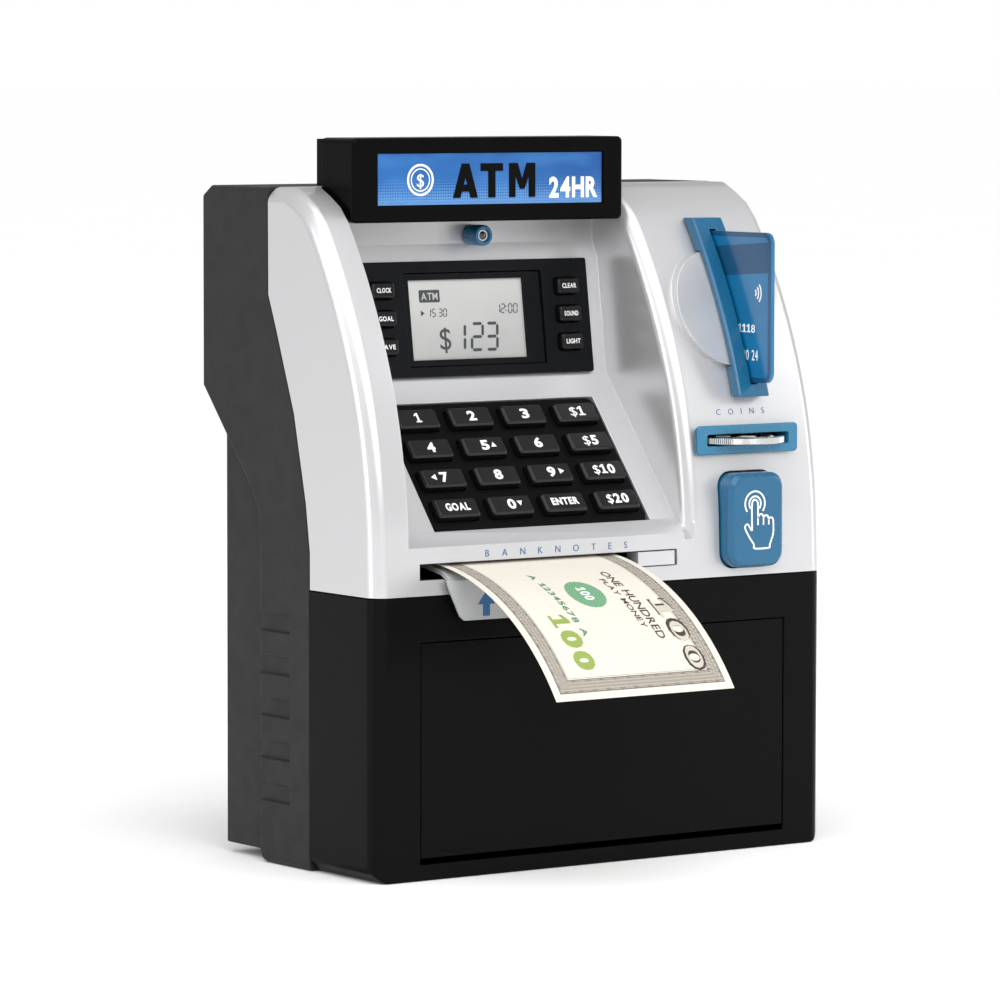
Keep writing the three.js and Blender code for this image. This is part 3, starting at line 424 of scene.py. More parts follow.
# white ink for print, also used for the painted highlight ring round the camera lens
WHITE_INK_AND_HIGHLIGHT = ink("white_ink", (0.82, 0.82, 0.82))
# black ink for print, also used for the painted shade in the screws' cross recesses
BLACK_INK_AND_SHADE = ink("black_ink", (0.003, 0.003, 0.0035), 0.4, Specular_IOR_Level=0.04)
BLUE_INK = ink("blue_ink", (0.02, 0.11, 0.27))
LCD_INK = ink("lcd_ink", (0.045, 0.05, 0.05), 0.3)
GREEN_INK = ink("green_ink", (0.06, 0.20, 0.10), 0.7)
OLIVE_INK = ink("olive_ink", (0.25, 0.34, 0.07), 0.7)
CREAM_INK = ink("cream_ink", (0.52, 0.48, 0.40), 0.7)
BROWN_INK = ink("brown_ink", (0.045, 0.032, 0.024), 0.7)
LENS = moulded("lens_black", (0.004, 0.005, 0.008), 0.06, Coat_Weight=1.0)


# ---------------------------------------------------------------- making pieces

def piece(name, mesh_source, finish, body, smooth_angle=None):
    """A mesh object from a bmesh in metres, riding on a body."""
    mesh = bpy.data.meshes.new(name)
    bmesh.ops.recalc_face_normals(mesh_source, faces=mesh_source.faces)
    mesh_source.to_mesh(mesh)
    mesh_source.free()
    if smooth_angle is not None:
        mesh.shade_smooth()
        mesh.set_sharp_from_angle(angle=math.radians(smooth_angle))
    made = bpy.data.objects.new(name, mesh)
    bpy.context.collection.objects.link(made)
    made.data.materials.append(finish)
    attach(made, body)
    return made


def body_name(node):
    return NODES[node].parent.name.removeprefix("body:")


CASE_CHAMFER_FROM = 82.5
POD_BEVEL_SPAN = (31.7, 34.9)


def is_chamfer(edge):
    """True on both sides of a 45 degree chamfer, on the case's sides or on the pod's edge beside the recess."""
    angle = math.degrees(edge.calc_face_angle(0.0))
    x = (edge.verts[0].co.x + edge.verts[1].co.x) / 2 / MM
    pod = POD_BEVEL_SPAN[0] < x < POD_BEVEL_SPAN[1] and edge.verts[0].co.z > POD_BEVEL_FROM * MM
    return 40 < angle < 50 and (abs(x) > CASE_CHAMFER_FROM or pod)


DOOR_PARTINGS = tuple(range(-59, 62, 10))
LOWER_FRONT_PARTINGS = (-68.0, -62.0, -24.0, 0.0, 24.0, 62.0, 68.0)


def refined(node, finish, width, angle=38.0, segments=2, wide=0.0, splits=(), concave=True):
    """The CAD piece again, with its sharp edges rounded as a moulding's are, and its outer chamfers rounded by wide.

    splits are places in x, in millimetres, where flat faces are parted, so that none surrounds an opening or a
    knuckle.
    concave=False keeps the inner corners sharp.
    """
    made = bmesh.new()
    made.from_mesh(NODES[node].data)
    bmesh.ops.remove_doubles(made, verts=made.verts, dist=2e-6)
    for position in splits:
        geometry = made.verts[:] + made.edges[:] + made.faces[:]
        parted = bmesh.ops.bisect_plane(made, geom=geometry, plane_co=(position * MM, 0, 0), plane_no=(1, 0, 0))
        for item in parted["geom_cut"]:
            if isinstance(item, bmesh.types.BMEdge):
                item.seam = True
    bmesh.ops.dissolve_limit(made, angle_limit=math.radians(0.6), verts=made.verts, edges=made.edges,
                             delimit={"SEAM"})
    if wide:
        rims = [e for e in made.edges if len(e.link_faces) == 2 and is_chamfer(e)]
        bmesh.ops.bevel(made, geom=rims, offset=wide * MM, offset_type="OFFSET", segments=4, profile=0.5,
                        affect="EDGES", clamp_overlap=False)
    limit = math.radians(angle)
    edges = [e for e in made.edges if len(e.link_faces) == 2 and e.calc_face_angle(0.0) > limit
             and (concave or e.is_convex)]
    bmesh.ops.bevel(made, geom=edges, offset=width * MM, offset_type="OFFSET", segments=segments, profile=0.5,
                    affect="EDGES", clamp_overlap=False)
    result = piece(f"{node}_shown", made, finish, body_name(node), 32)
    result.modifiers.new("normals", "WEIGHTED_NORMAL").keep_sharp = True
    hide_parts(node)
    return result


def dressed(node, finish):
    """The CAD piece as it is, with its finish."""
    target = NODES[node]
    if not target.material_slots:
        target.data.materials.append(finish)
    for holder in target.material_slots:
        holder.material = finish
    return target


GLYPH_ONE = [(0.06, 0.0), (0.64, 0.0), (0.64, 0.15), (0.46, 0.15), (0.46, 1.0), (0.30, 1.0), (0.04, 0.82),
             (0.04, 0.64), (0.25, 0.76), (0.25, 0.15), (0.06, 0.15)]
FONT_CAP = 0.73
WORD_SPACE = 0.42
LETTER_GAP = 0.13
GLYPHS = {}


def glyph(character, bold):
    """Outline mesh of one letter, cap height 1 and half depth 1, its left edge at 0, and its width."""
    if (character, bold) not in GLYPHS:
        if character == "1":
            shape = bmesh.new()
            add_prism(shape, GLYPH_ONE, lambda x, y, h: Vector((x, y, h)), -1, 1)
            mesh = bpy.data.meshes.new("glyph")
            shape.to_mesh(mesh)
            shape.free()
        else:
            curve = bpy.data.curves.new("glyph", "FONT")
            curve.body = character
            curve.size = 1 / FONT_CAP
            curve.offset = 0 if character == "$" else bold
            curve.extrude = 1
            curve.resolution_u = 3
            holder = bpy.data.objects.new("glyph", curve)
            bpy.context.collection.objects.link(holder)
            evaluated = holder.evaluated_get(bpy.context.evaluated_depsgraph_get())
            mesh = bpy.data.meshes.new_from_object(evaluated)
            bpy.data.objects.remove(holder)
            bpy.data.curves.remove(curve)
        low, high = min(v.co.x for v in mesh.vertices), max(v.co.x for v in mesh.vertices)
        mesh.transform(Matrix.Translation((-low, 0, 0)))
        GLYPHS[character, bold] = mesh, high - low
    return GLYPHS[character, bold]


def letters(name, words, where, finish, body, rise=0.05, bold=0.012, cuts=None):
    """Raised print. words is a list of (text, x, y, cap height, width[, spread]); where maps (x, y, h).

    A word is stretched to its width, or with spread it keeps its letters' shapes and opens its gaps.
    """
    sheet = bmesh.new()
    for text, x, y, height, width, *spread in words:
        spans = [WORD_SPACE if c == " " else glyph(c, bold)[1] for c in text]
        gap = (width / height - sum(spans)) / (len(text) - 1) if spread else LETTER_GAP
        stretch = width / (sum(spans) + gap * (len(text) - 1))
        cursor = x - width / 2
        for character, span in zip(text, spans):
            if character != " ":
                mesh = glyph(character, bold)[0].copy()
                place = Matrix.Translation((cursor, y - height / 2, 0))
                mesh.transform(place @ Matrix.Diagonal((stretch, height, rise, 1)))
                sheet.from_mesh(mesh)
                bpy.data.meshes.remove(mesh)
            cursor += (span + gap) * stretch
    for position in cuts or ():
        geometry = sheet.verts[:] + sheet.edges[:] + sheet.faces[:]
        bmesh.ops.bisect_plane(sheet, geom=geometry, plane_co=(position, 0, 0), plane_no=(1, 0, 0))
    for vertex in sheet.verts:
        vertex.co = where(vertex.co.x, vertex.co.y, vertex.co.z)
    return piece(name, sheet, finish, body)


def on(matrix, height=0.02):
    """Mapper that lays print on a plane."""
    return lambda x, y, h: matrix @ Vector((x, y, h + height))


def add_ribbon(target, points, width, where, thickness=0.08, closed=False):
    """A flat raised line of even width along points on a plane."""
    count = len(points)
    rings = []
    for i, (x, y) in enumerate(points):
        before = points[i - 1] if i or closed else points[i]
        after = points[(i + 1) % count] if i < count - 1 or closed else points[i]
        along = Vector((after[0] - before[0], after[1] - before[1])).normalized()
        side = Vector((-along.y, along.x)) * width / 2
        corners = ((x + side.x, y + side.y, thickness), (x - side.x, y - side.y, thickness),
                   (x - side.x, y - side.y, -thickness), (x + side.x, y + side.y, -thickness))
        rings.append([target.verts.new(where(*corner)) for corner in corners])
    pairs = list(zip(rings, rings[1:])) + ([(rings[-1], rings[0])] if closed else [])
    for a, b in pairs:
        for k in range(4):
            target.faces.new((a[k], a[(k + 1) % 4], b[(k + 1) % 4], b[k]))
    if not closed:
        target.faces.new(rings[0])
        target.faces.new(rings[-1][::-1])


def add_prism(target, outline, where, low, high):
    """A flat shape with thickness, from an outline on a plane."""
    top = [target.verts.new(where(x, y, high)) for x, y in outline]
    bottom = [target.verts.new(where(x, y, low)) for x, y in outline]
    count = len(outline)
    target.faces.new(top)
    target.faces.new(bottom[::-1])
    for i in range(count):
        j = (i + 1) % count
        target.faces.new((top[i], bottom[i], bottom[j], top[j]))


def add_lathe(target, profile, matrix, sides):
    """A turned shape: profile is (radius, height) about the plane's outward axis; it closes on the axis."""
    rings = []
    for radius, height in profile:
        if radius == 0:
            rings.append([target.verts.new(matrix @ Vector((0, 0, height)))])
            continue
        turns = [2 * math.pi * i / sides for i in range(sides)]
        circle = [Vector((radius * math.cos(t), radius * math.sin(t), height)) for t in turns]
        rings.append([target.verts.new(matrix @ place) for place in circle])
    for a, b in zip(rings, rings[1:]):
        for i in range(sides):
            j = (i + 1) % sides
            corners = [a[i % len(a)], a[j % len(a)], b[j % len(b)], b[i % len(b)]]
            target.faces.new(list(dict.fromkeys(corners)))


def arc(x, y, radius, start, end, steps=16):
    """Points on an arc, in degrees."""
    turns = [math.radians(start + (end - start) * i / steps) for i in range(steps + 1)]
    return [(x + radius * math.cos(t), y + radius * math.sin(t)) for t in turns]


def rounded(x, y, width, height, radius, steps=5):
    """Outline of a rounded rectangle about (x, y)."""
    points = []
    for quarter, (sx, sy) in enumerate(((1, 1), (-1, 1), (-1, -1), (1, -1))):
        centre = (x + sx * (width / 2 - radius), y + sy * (height / 2 - radius))
        points += arc(*centre, radius, quarter * 90, quarter * 90 + 90, steps)
    return points


def smooth_path(points, steps=5):
    """Catmull-Rom curve through points."""
    ends = [points[0], *points, points[-1]]
    path = []
    for a, b, c, d in zip(ends, ends[1:], ends[2:], ends[3:]):
        for i in range(steps):
            t = i / steps
            path.append(tuple(
                0.5 * (2 * b[k] + (c[k] - a[k]) * t + (2 * a[k] - 5 * b[k] + 4 * c[k] - d[k]) * t * t
                       + (3 * b[k] - a[k] - 3 * c[k] + d[k]) * t ** 3) for k in (0, 1)))
    return [*path, points[-1]]


# ---------------------------------------------------------------- camera, lights, floor

CAMERA_POSITION = Vector((-1.01868, -1.42725, 0.24802))
CAMERA_YAW = math.radians(35.294)
CAMERA_PITCH = math.radians(4.508)
CAMERA_ROLL = math.radians(0.1001)
CAMERA_LENS = 200.94


def make_camera():
    data = bpy.data.cameras.new("camera")
    data.lens = CAMERA_LENS
    data.sensor_width = 36.0
    data.clip_start = 0.05
    camera = bpy.data.objects.new("camera", data)
    bpy.context.collection.objects.link(camera)
    forward = Vector((math.sin(CAMERA_YAW) * math.cos(CAMERA_PITCH), math.cos(CAMERA_YAW) * math.cos(CAMERA_PITCH),
                      -math.sin(CAMERA_PITCH)))
    level = Vector((math.cos(CAMERA_YAW), -math.sin(CAMERA_YAW), 0))
    upright = level.cross(forward)
    right = level * math.cos(CAMERA_ROLL) + upright * math.sin(CAMERA_ROLL)
    up = upright * math.cos(CAMERA_ROLL) - level * math.sin(CAMERA_ROLL)
    matrix = Matrix((right, up, -forward)).transposed().to_4x4()
    camera.matrix_world = Matrix.Translation(CAMERA_POSITION) @ matrix
    bpy.context.scene.camera = camera


def soft_light(name, position, target, size, power, colour=(1, 1, 1)):
    data = bpy.data.lights.new(name, "AREA")
    data.shape = "RECTANGLE"
    data.size, data.size_y = size
    data.energy = power
    data.color = colour
    light = bpy.data.objects.new(name, data)
    bpy.context.collection.objects.link(light)
    aim = Vector(target) - Vector(position)
    light.matrix_world = Matrix.Translation(position) @ aim.to_track_quat("-Z", "Y").to_matrix().to_4x4()


def make_studio():
    bpy.context.scene.view_settings.view_transform = "Standard"
    world = bpy.data.worlds.new("studio")
    bpy.context.scene.world = world
    world.use_nodes = True
    tree = world.node_tree
    shown, lighting = tree.nodes["Background"], tree.nodes.new("ShaderNodeBackground")
    shown.inputs["Color"].default_value = (1, 1, 1, 1)
    lighting.inputs["Color"].default_value = (1, 1, 1, 1)
    lighting.inputs["Strength"].default_value = 0.5
    choice, path = tree.nodes.new("ShaderNodeMixShader"), tree.nodes.new("ShaderNodeLightPath")
    tree.links.new(path.outputs["Is Camera Ray"], choice.inputs["Fac"])
    tree.links.new(lighting.outputs[0], choice.inputs[1])
    tree.links.new(shown.outputs[0], choice.inputs[2])
    tree.links.new(choice.outputs[0], tree.nodes["World Output"].inputs["Surface"])
    data = bpy.data.lights.new("sky", "SUN")
    data.energy = 2.15
    data.angle = math.radians(75)
    sun = bpy.data.objects.new("sky", data)
    bpy.context.collection.objects.link(sun)
    sun.rotation_euler = Vector((0.2, 0.55, -0.85)).to_track_quat("-Z", "Y").to_euler()
    soft_light("front_box", (-0.35, -1.3, 0.75), (0, 0, 0.1), (0.9, 0.6), 5)
    soft_light("left_box", (-1.3, -0.1, 0.5), (0, 0, 0.12), (0.5, 0.9), 6)
    soft_light("right_box", (1.1, -0.7, 0.5), (0, 0, 0.13), (0.5, 0.9), 5)
    floor_mesh = bmesh.new()
    bmesh.ops.create_grid(floor_mesh, x_segments=8, y_segments=8, size=40.0)
    mesh = bpy.data.meshes.new("floor")
    floor_mesh.to_mesh(mesh)
    floor_mesh.free()
    floor = bpy.data.objects.new("floor", mesh)
    bpy.context.collection.objects.link(floor)
    finish = Finish("floor_white")
    finish.colour(finish.mix(finish.noise(3.0), (0.985, 0.985, 0.985, 1), (1.0, 1.0, 1.0, 1)))
    finish.roughness(0.7)
    floor.data.materials.append(finish.material)
    floor.location.z = -0.0002


# ---------------------------------------------------------------- case, sign and camera

def case_pieces():
    refined("rear_shell", REAR_BLACK, 0.5)
    refined("front_fascia", SILVER, 0.22, wide=1.5)
    refined("lower_front", FRONT_BLACK, 0.28, wide=1.5, splits=LOWER_FRONT_PARTINGS, concave=False)
    refined("door", FRONT_BLACK, 0.3, splits=DOOR_PARTINGS, concave=False)
    refined("battery_cover", REAR_BLACK, 0.25)
    refined("sign_housing", SIGN_BLACK, 0.18, splits=(CAMERA_PLACE[0],))
    refined("display_bezel", BEZEL_BLACK, 0.3)
    refined("keypad_panel", PAD_BLACK, 0.2)
    refined("coin_slot_bezel", BEZEL_BLUE, 0.25)
    refined("fingerprint_button", BLUE, 0.3)
    refined("card_reader_bezel", BLUE, 0.3)
    refined("note_guide", GUIDE, 0.2)
    refined("note_edge_stop", SILVER, 0.2)
    dressed("door_hinge_pin", STEEL)
    dressed("coin_chute", REAR_BLACK)
    dressed("sign_window", SIGN_BLUE)
    dressed("lcd_panel", LCD)


# strokes of the sign's block capitals, as (x, z) from each letter's foot
LETTER_A = [
    [(0, 0), (2.8, 0), (6.0, 10.6), (3.3, 10.6)], [(9.4, 0), (6.6, 0), (3.4, 10.6), (6.1, 10.6)],
    [(2.2, 1.9), (7.2, 1.9), (6.6, 4.1), (2.8, 4.1)],
]
LETTER_T = [[(0, 10.6), (8.5, 10.6), (8.5, 8.2), (0, 8.2)], [(2.9, 0), (5.6, 0), (5.6, 8.3), (2.9, 8.3)]]
LETTER_M = [
    [(0, 0), (2.5, 0), (2.5, 10.6), (0, 10.6)], [(7.5, 0), (10, 0), (10, 10.6), (7.5, 10.6)],
    [(0.9, 10.6), (3.3, 10.6), (5.0, 5.6), (6.7, 10.6), (9.1, 10.6), (5.9, 2.6), (4.1, 2.6)],
]


def sign_print():
    face = on(front_plane(0, SIGN_FACE, 0))
    name = bmesh.new()
    for x, shapes in ((-34.3, LETTER_A), (-23.9, LETTER_T), (-13.1, LETTER_M)):
        for step, shape in enumerate(shapes):
            add_prism(name, [(x + dx, 205.5 + dz) for dx, dz in shape], face, -0.1, 0.12 + 0.02 * step)
    piece("sign_name", name, BLACK_INK_AND_SHADE, HOUSING)
    letters("sign_hours", [("24HR", 11.6, 208.6, 6.3, 18.6)], face, WHITE_INK_AND_HIGHLIGHT, HOUSING, rise=0.12, bold=0.05)
    ring = bmesh.new()
    for radius, width in ((4.6, 0.7), (3.4, 0.35)):
        add_ribbon(ring, arc(-46.5, 211.2, radius, 0, 360, 40)[:-1], width, face, 0.1, closed=True)
    piece("sign_ring", ring, WHITE_INK_AND_HIGHLIGHT, HOUSING)
    letters("sign_dollar", [("$", -46.5, 211.2, 4.2, 2.6)], face, WHITE_INK_AND_HIGHLIGHT, HOUSING, rise=0.12, bold=0.02)


def camera_pieces():
    x, z = CAMERA_PLACE
    matrix = front_plane(x, CAMERA_FRONT, z)
    barrel = bmesh.new()
    add_lathe(barrel, [(0, -7.3), (3.3, -7.3), (3.3, -0.5), (3.15, -0.15), (2.8, 0.0), (2.2, -0.1), (1.95, -0.5),
                       (1.9, -1.1), (0, -1.1)], matrix, 48)
    made = piece("camera_barrel", barrel, BLUE, HOUSING, 40)
    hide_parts("camera_housing")
    # painted highlight: the thin white ring round the lens stands in for the light caught on its rim
    ring = bmesh.new()
    add_lathe(ring, [(1.7, -1.05), (1.7, -0.8), (1.42, -0.8), (1.36, -0.95), (1.36, -1.05), (1.7, -1.05)], matrix, 40)
    piece("camera_ring", ring, WHITE_INK_AND_HIGHLIGHT, HOUSING, 40)
    lens = bmesh.new()
    add_lathe(lens, [(1.3, -1.05), (1.3, -0.95), (1.0, -0.72), (0.5, -0.58), (0, -0.54)], matrix, 32)
    piece("camera_lens", lens, LENS, HOUSING, 60)


# ---------------------------------------------------------------- screen and keypad

SEGMENTS = {"1": "bc", "2": "abged", "3": "abgcd", "0": "abcdef", "5": "afgcd", "8": "abcdefg", "4": "fgbc",
            "6": "afgedc", "7": "abc", "9": "abcdfg"}


def add_digit(target, digit, x, y, height, where, stroke):
    """One seven-segment digit, its foot at (x, y), leaning a little to the right."""
    width, half = height * 0.5, height / 2
    bars = {
        "a": ((0, height), (width, height)), "b": ((width, height), (width, half)), "c": ((width, half), (width, 0)),
        "d": ((0, 0), (width, 0)), "e": ((0, 0), (0, half)), "f": ((0, half), (0, height)),
        "g": ((0, half), (width, half)),
    }
    for key in SEGMENTS[digit]:
        (x0, y0), (x1, y1) = bars[key]
        along = Vector((x1 - x0, y1 - y0)).normalized()
        side = Vector((-along.y, along.x)) * stroke / 2
        start, end = Vector((x0, y0)) + along * stroke * 0.25, Vector((x1, y1)) - along * stroke * 0.25
        nose = along * stroke / 2
        shape = [start, start + nose + side, end - nose + side, end, end - nose - side, start + nose - side]
        outline = [(x + p.x + p.y * 0.08, y + p.y) for p in shape]
        add_prism(target, outline, where, -0.03, 0.03)


def screen_pieces():
    face = on(SCREEN, LCD_TOP + 0.03)
    digits = bmesh.new()
    for digit, x in (("1", -8.1), ("2", -1.3), ("3", 4.3)):
        add_digit(digits, digit, x, 8.2, 8.2, face, 0.95)
    for i, digit in enumerate("12"):
        add_digit(digits, digit, 9.0 + i * 1.9, 19.6, 2.7, face, 0.34)
    for i, digit in enumerate("00"):
        add_digit(digits, digit, 13.7 + i * 2.0, 19.6, 2.7, face, 0.34)
    for i, digit in enumerate("1530"):
        add_digit(digits, digit, -17.2 + i * 1.75 + (0.8 if i > 1 else 0), 19.0, 2.3, face, 0.3)
    add_prism(digits, rounded(12.75, 20.3, 0.4, 0.4, 0.1, 1), face, -0.03, 0.03)
    add_prism(digits, rounded(12.9, 21.6, 0.4, 0.4, 0.1, 1), face, -0.03, 0.03)
    add_prism(digits, [(-19.6, 19.2), (-18.2, 20.1), (-19.6, 21.0)], face, -0.03, 0.03)
    add_prism(digits, rounded(-16.0, 25.4, 7.8, 3.9, 0.4, 2), face, -0.03, 0.03)
    piece("screen_digits", digits, LCD_INK, HOUSING)
    mask = bmesh.new()
    low_x, low_y, high_x, high_y = LCD_SHOWN
    wide, low, high = LCD_WINDOW
    inner = [(low_x, low_y), (high_x, low_y), (high_x, high_y), (low_x, high_y)]
    outer = [(-wide, low), (wide, low), (wide, high), (-wide, high)]
    for i in range(4):
        j = (i + 1) % 4
        add_prism(mask, [outer[i], outer[j], inner[j], inner[i]], face, -0.03, LCD_MASK_RISE)
    bmesh.ops.remove_doubles(mask, verts=mask.verts[:], dist=0.00001)
    piece("screen_mask", mask, BEZEL_BLACK, HOUSING)
    letters("screen_dollar", [("$", -11.1, 12.2, 7.2, 4.2)], face, LCD_INK, HOUSING, rise=0.03, bold=0.02)
    label = on(SCREEN, LCD_TOP + 0.08)
    letters("screen_label", [("ATM", -16.0, 25.4, 2.3, 6.2)], label, LCD, HOUSING, rise=0.03, bold=0.02)
    sides = (("left", -1, ("CLOCK", "GOAL", "SAVE")), ("right", 1, ("CLEAR", "SOUND", "LIGHT")))
    for side, sign, labels in sides:
        for row, text in enumerate(labels):
            node = f"screen_key_{side}_{row + 1}"
            refined(node, KEY_BLACK, 0.15)
            y = SIDE_KEY_ROWS[2 - row]
            top = on(SCREEN, SIDE_KEY_TOP + 0.02)
            words = [(text, sign * SIDE_KEY_X, y, 1.5, 5.4)]
            letters(f"{node}_print", words, top, WHITE_INK_AND_HIGHLIGHT, body_name(node), 0.03, 0.03)


KEY_LEGENDS = [
    [("key_goal", "GOAL"), ("key_0", "0"), ("key_enter", "ENTER"), ("key_20_dollars", "$20")],
    [("key_7", "7"), ("key_8", "8"), ("key_9", "9"), ("key_10_dollars", "$10")],
    [("key_4", "4"), ("key_5", "5"), ("key_6", "6"), ("key_5_dollars", "$5")],
    [("key_1", "1"), ("key_2", "2"), ("key_3", "3"), ("key_1_dollar", "$1")],
]
# height and width of a legend by its count of letters
LEGEND_SIZES = {"one": (3.5, 2.1), 1: (3.5, 3.0), 2: (3.5, 5.6), 3: (3.4, 8.2), 4: (2.7, 8.8), 5: (2.6, 10.2)}
ARROWS = {
    "key_0": [(2.2, 0.9), (4.2, 0.9), (3.2, -0.9)],
    "key_5": [(2.2, -0.9), (4.2, -0.9), (3.2, 0.9)],
    "key_7": [(-3.0, 1.1), (-3.0, -1.1), (-4.9, 0.0)],
    "key_9": [(3.0, 1.1), (3.0, -1.1), (4.9, 0.0)],
}


def keypad_pieces():
    for row, entries in enumerate(KEY_LEGENDS):
        for column, (node, text) in enumerate(entries):
            refined(node, KEY_BLACK, 0.15)
            x = (column - 1.5) * KEY_PITCH[0]
            y = KEY_FIRST_ROW + row * KEY_PITCH[1]
            top = on(KEYPAD, KEY_TOP + 0.02)
            words = [(text, x, y, *LEGEND_SIZES["one" if text == "1" else len(text)])]
            letters(f"{node}_print", words, top, WHITE_INK_AND_HIGHLIGHT, body_name(node), 0.04, 0.05)
            if node in ARROWS:
                arrow = bmesh.new()
                add_prism(arrow, [(x + dx, y + dy) for dx, dy in ARROWS[node]], top, -0.04, 0.04)
                piece(f"{node}_arrow", arrow, WHITE_INK_AND_HIGHLIGHT, body_name(node))


# ---------------------------------------------------------------- banknote and its slot

def note_pieces():
    total = NOTE_RADIUS * (NOTE_END_SLOPE - NOTE_SLOPE) + (NOTE_INSIDE - NOTE_MOUTH[0]) / math.cos(NOTE_SLOPE)
    columns, rows = 24, 84
    sheet = bmesh.new()
    layer = sheet.loops.layers.uv.new("sheet")
    grids = []
    for h in (NOTE_THICKNESS / 2, -NOTE_THICKNESS / 2):
        grids.append([[sheet.verts.new(note_point(NOTE_WIDTH * i / columns, total * j / rows, h))
                       for i in range(columns + 1)] for j in range(rows + 1)])
    place = {}
    for grid in grids:
        for j, line in enumerate(grid):
            for i, vertex in enumerate(line):
                place[vertex] = (i / columns, total * j / rows / 100.0)
    upper, lower = grids
    for j in range(rows):
        for i in range(columns):
            sheet.faces.new((upper[j][i], upper[j][i + 1], upper[j + 1][i + 1], upper[j + 1][i]))
            sheet.faces.new((lower[j][i], lower[j + 1][i], lower[j + 1][i + 1], lower[j][i + 1]))
    for j in range(rows):
        sheet.faces.new((upper[j][0], upper[j + 1][0], lower[j + 1][0], lower[j][0]))
        sheet.faces.new((upper[j][-1], lower[j][-1], lower[j + 1][-1], upper[j + 1][-1]))
    for i in range(columns):
        sheet.faces.new((upper[0][i], lower[0][i], lower[0][i + 1], upper[0][i + 1]))
        sheet.faces.new((upper[-1][i], upper[-1][i + 1], lower[-1][i + 1], lower[-1][i]))
    for face in sheet.faces:
        for loop in face.loops:
            loop[layer].uv = place[loop.vert]
    made = piece("banknote_sheet", sheet, PAPER, body_name("banknote"), 60)
    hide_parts("banknote")

    def turned(x0, v0):
        """Print that reads down the note, its letters' tops to the right."""
        return lambda x, y, h: note_point(x0 + y, v0 - x, h + NOTE_THICKNESS / 2 + 0.05)

    body = body_name("banknote")
    cuts = [k * 1.5 - 19.5 for k in range(27)]
    letters("note_value", [("100", 0, 0, 6.4, 23.0)], turned(16.6, 21.6), OLIVE_INK, body, 0.03, 0.075, cuts)
    corner = turned(56.8, 22.5)
    letters("note_corner_value", [("100", 0, 0, 6.6, 31.0)], corner, BROWN_INK, body, 0.03, 0.06, cuts)

    def above_corner(x, y, h):
        return corner(x, y, h + 0.03)

    letters("note_corner_fill", [("100", 0, 0, 5.7, 29.4)], above_corner, CREAM_INK, body, 0.03, 0.0, cuts)
    letters("note_serial", [("A 12345678 A", 0, 0, 2.1, 34.0)], turned(22.4, 40.0), GREEN_INK, body, 0.03, 0.02, cuts)
    letters("note_words", [("ONE HUNDRED", 0, 0, 3.0, 36.0)], turned(49.2, 38.0), BROWN_INK, body, 0.03, 0.01, cuts)
    letters("note_words_2", [("PLAY MONEY", 0, 0, 2.0, 26.0)], turned(45.4, 38.0), BROWN_INK, body, 0.03, 0.01, cuts)
    seal_pieces(body)


def seal_pieces(body):
    """The note's round seal, with a value printed on it."""
    centre, size = (34.0, 43.0), (6.2, 7.4)
    scallop = 0.025
    seal = bmesh.new()
    layer = seal.loops.layers.uv.new("sheet")
    rings, sides = 6, 48
    place = {}

    def point(share, turn, h):
        x, v = math.cos(turn) * share, math.sin(turn) * share
        vertex = seal.verts.new(note_point(centre[0] + x * size[0], centre[1] + v * size[1], NOTE_THICKNESS / 2 + h))
        place[vertex] = (x, v)
        return vertex

    turns = [2 * math.pi * i / sides for i in range(sides)]
    grid = [[point((k + 1) / rings * (1 + scallop * (i % 2)), t, 0.05) for i, t in enumerate(turns)]
            for k in range(rings)]
    middle = point(0, 0, 0.05)
    skirt = [point(1 + scallop * (i % 2), t, -0.02) for i, t in enumerate(turns)]
    for i in range(sides):
        j = (i + 1) % sides
        seal.faces.new((middle, grid[0][i], grid[0][j]))
        for inner, outer in zip(grid, grid[1:]):
            seal.faces.new((inner[i], outer[i], outer[j], inner[j]))
        seal.faces.new((grid[-1][i], skirt[i], skirt[j], grid[-1][j]))
    seal.faces.new(skirt[::-1])
    for face in seal.faces:
        for loop in face.loops:
            loop[layer].uv = place[loop.vert]
    piece("note_seal", seal, SEAL, body)
    cuts = [k * 1.5 - 9 for k in range(13)]

    def where(x, y, h):
        return note_point(centre[0] + y, centre[1] - x, h + NOTE_THICKNESS / 2 + 0.09)

    letters("note_seal_value", [("100", 0, 0, 3.4, 7.2)], where, WHITE_INK_AND_HIGHLIGHT, body, 0.03, 0.03, cuts)


def guide_arrow():
    """The upward arrow printed on the note guide."""
    arrow = bmesh.new()
    outline = [(-48.9, 79.8), (-46.3, 79.8), (-46.3, 83.4), (-44.4, 83.4), (-47.6, 87.6), (-50.8, 83.4),
               (-48.9, 83.4)]
    add_prism(arrow, outline, on(front_plane(0, -3.4, 0)), -0.05, 0.05)
    piece("note_guide_arrow", arrow, BLUE_INK, body_name("note_guide"))


# ---------------------------------------------------------------- coin, button, card

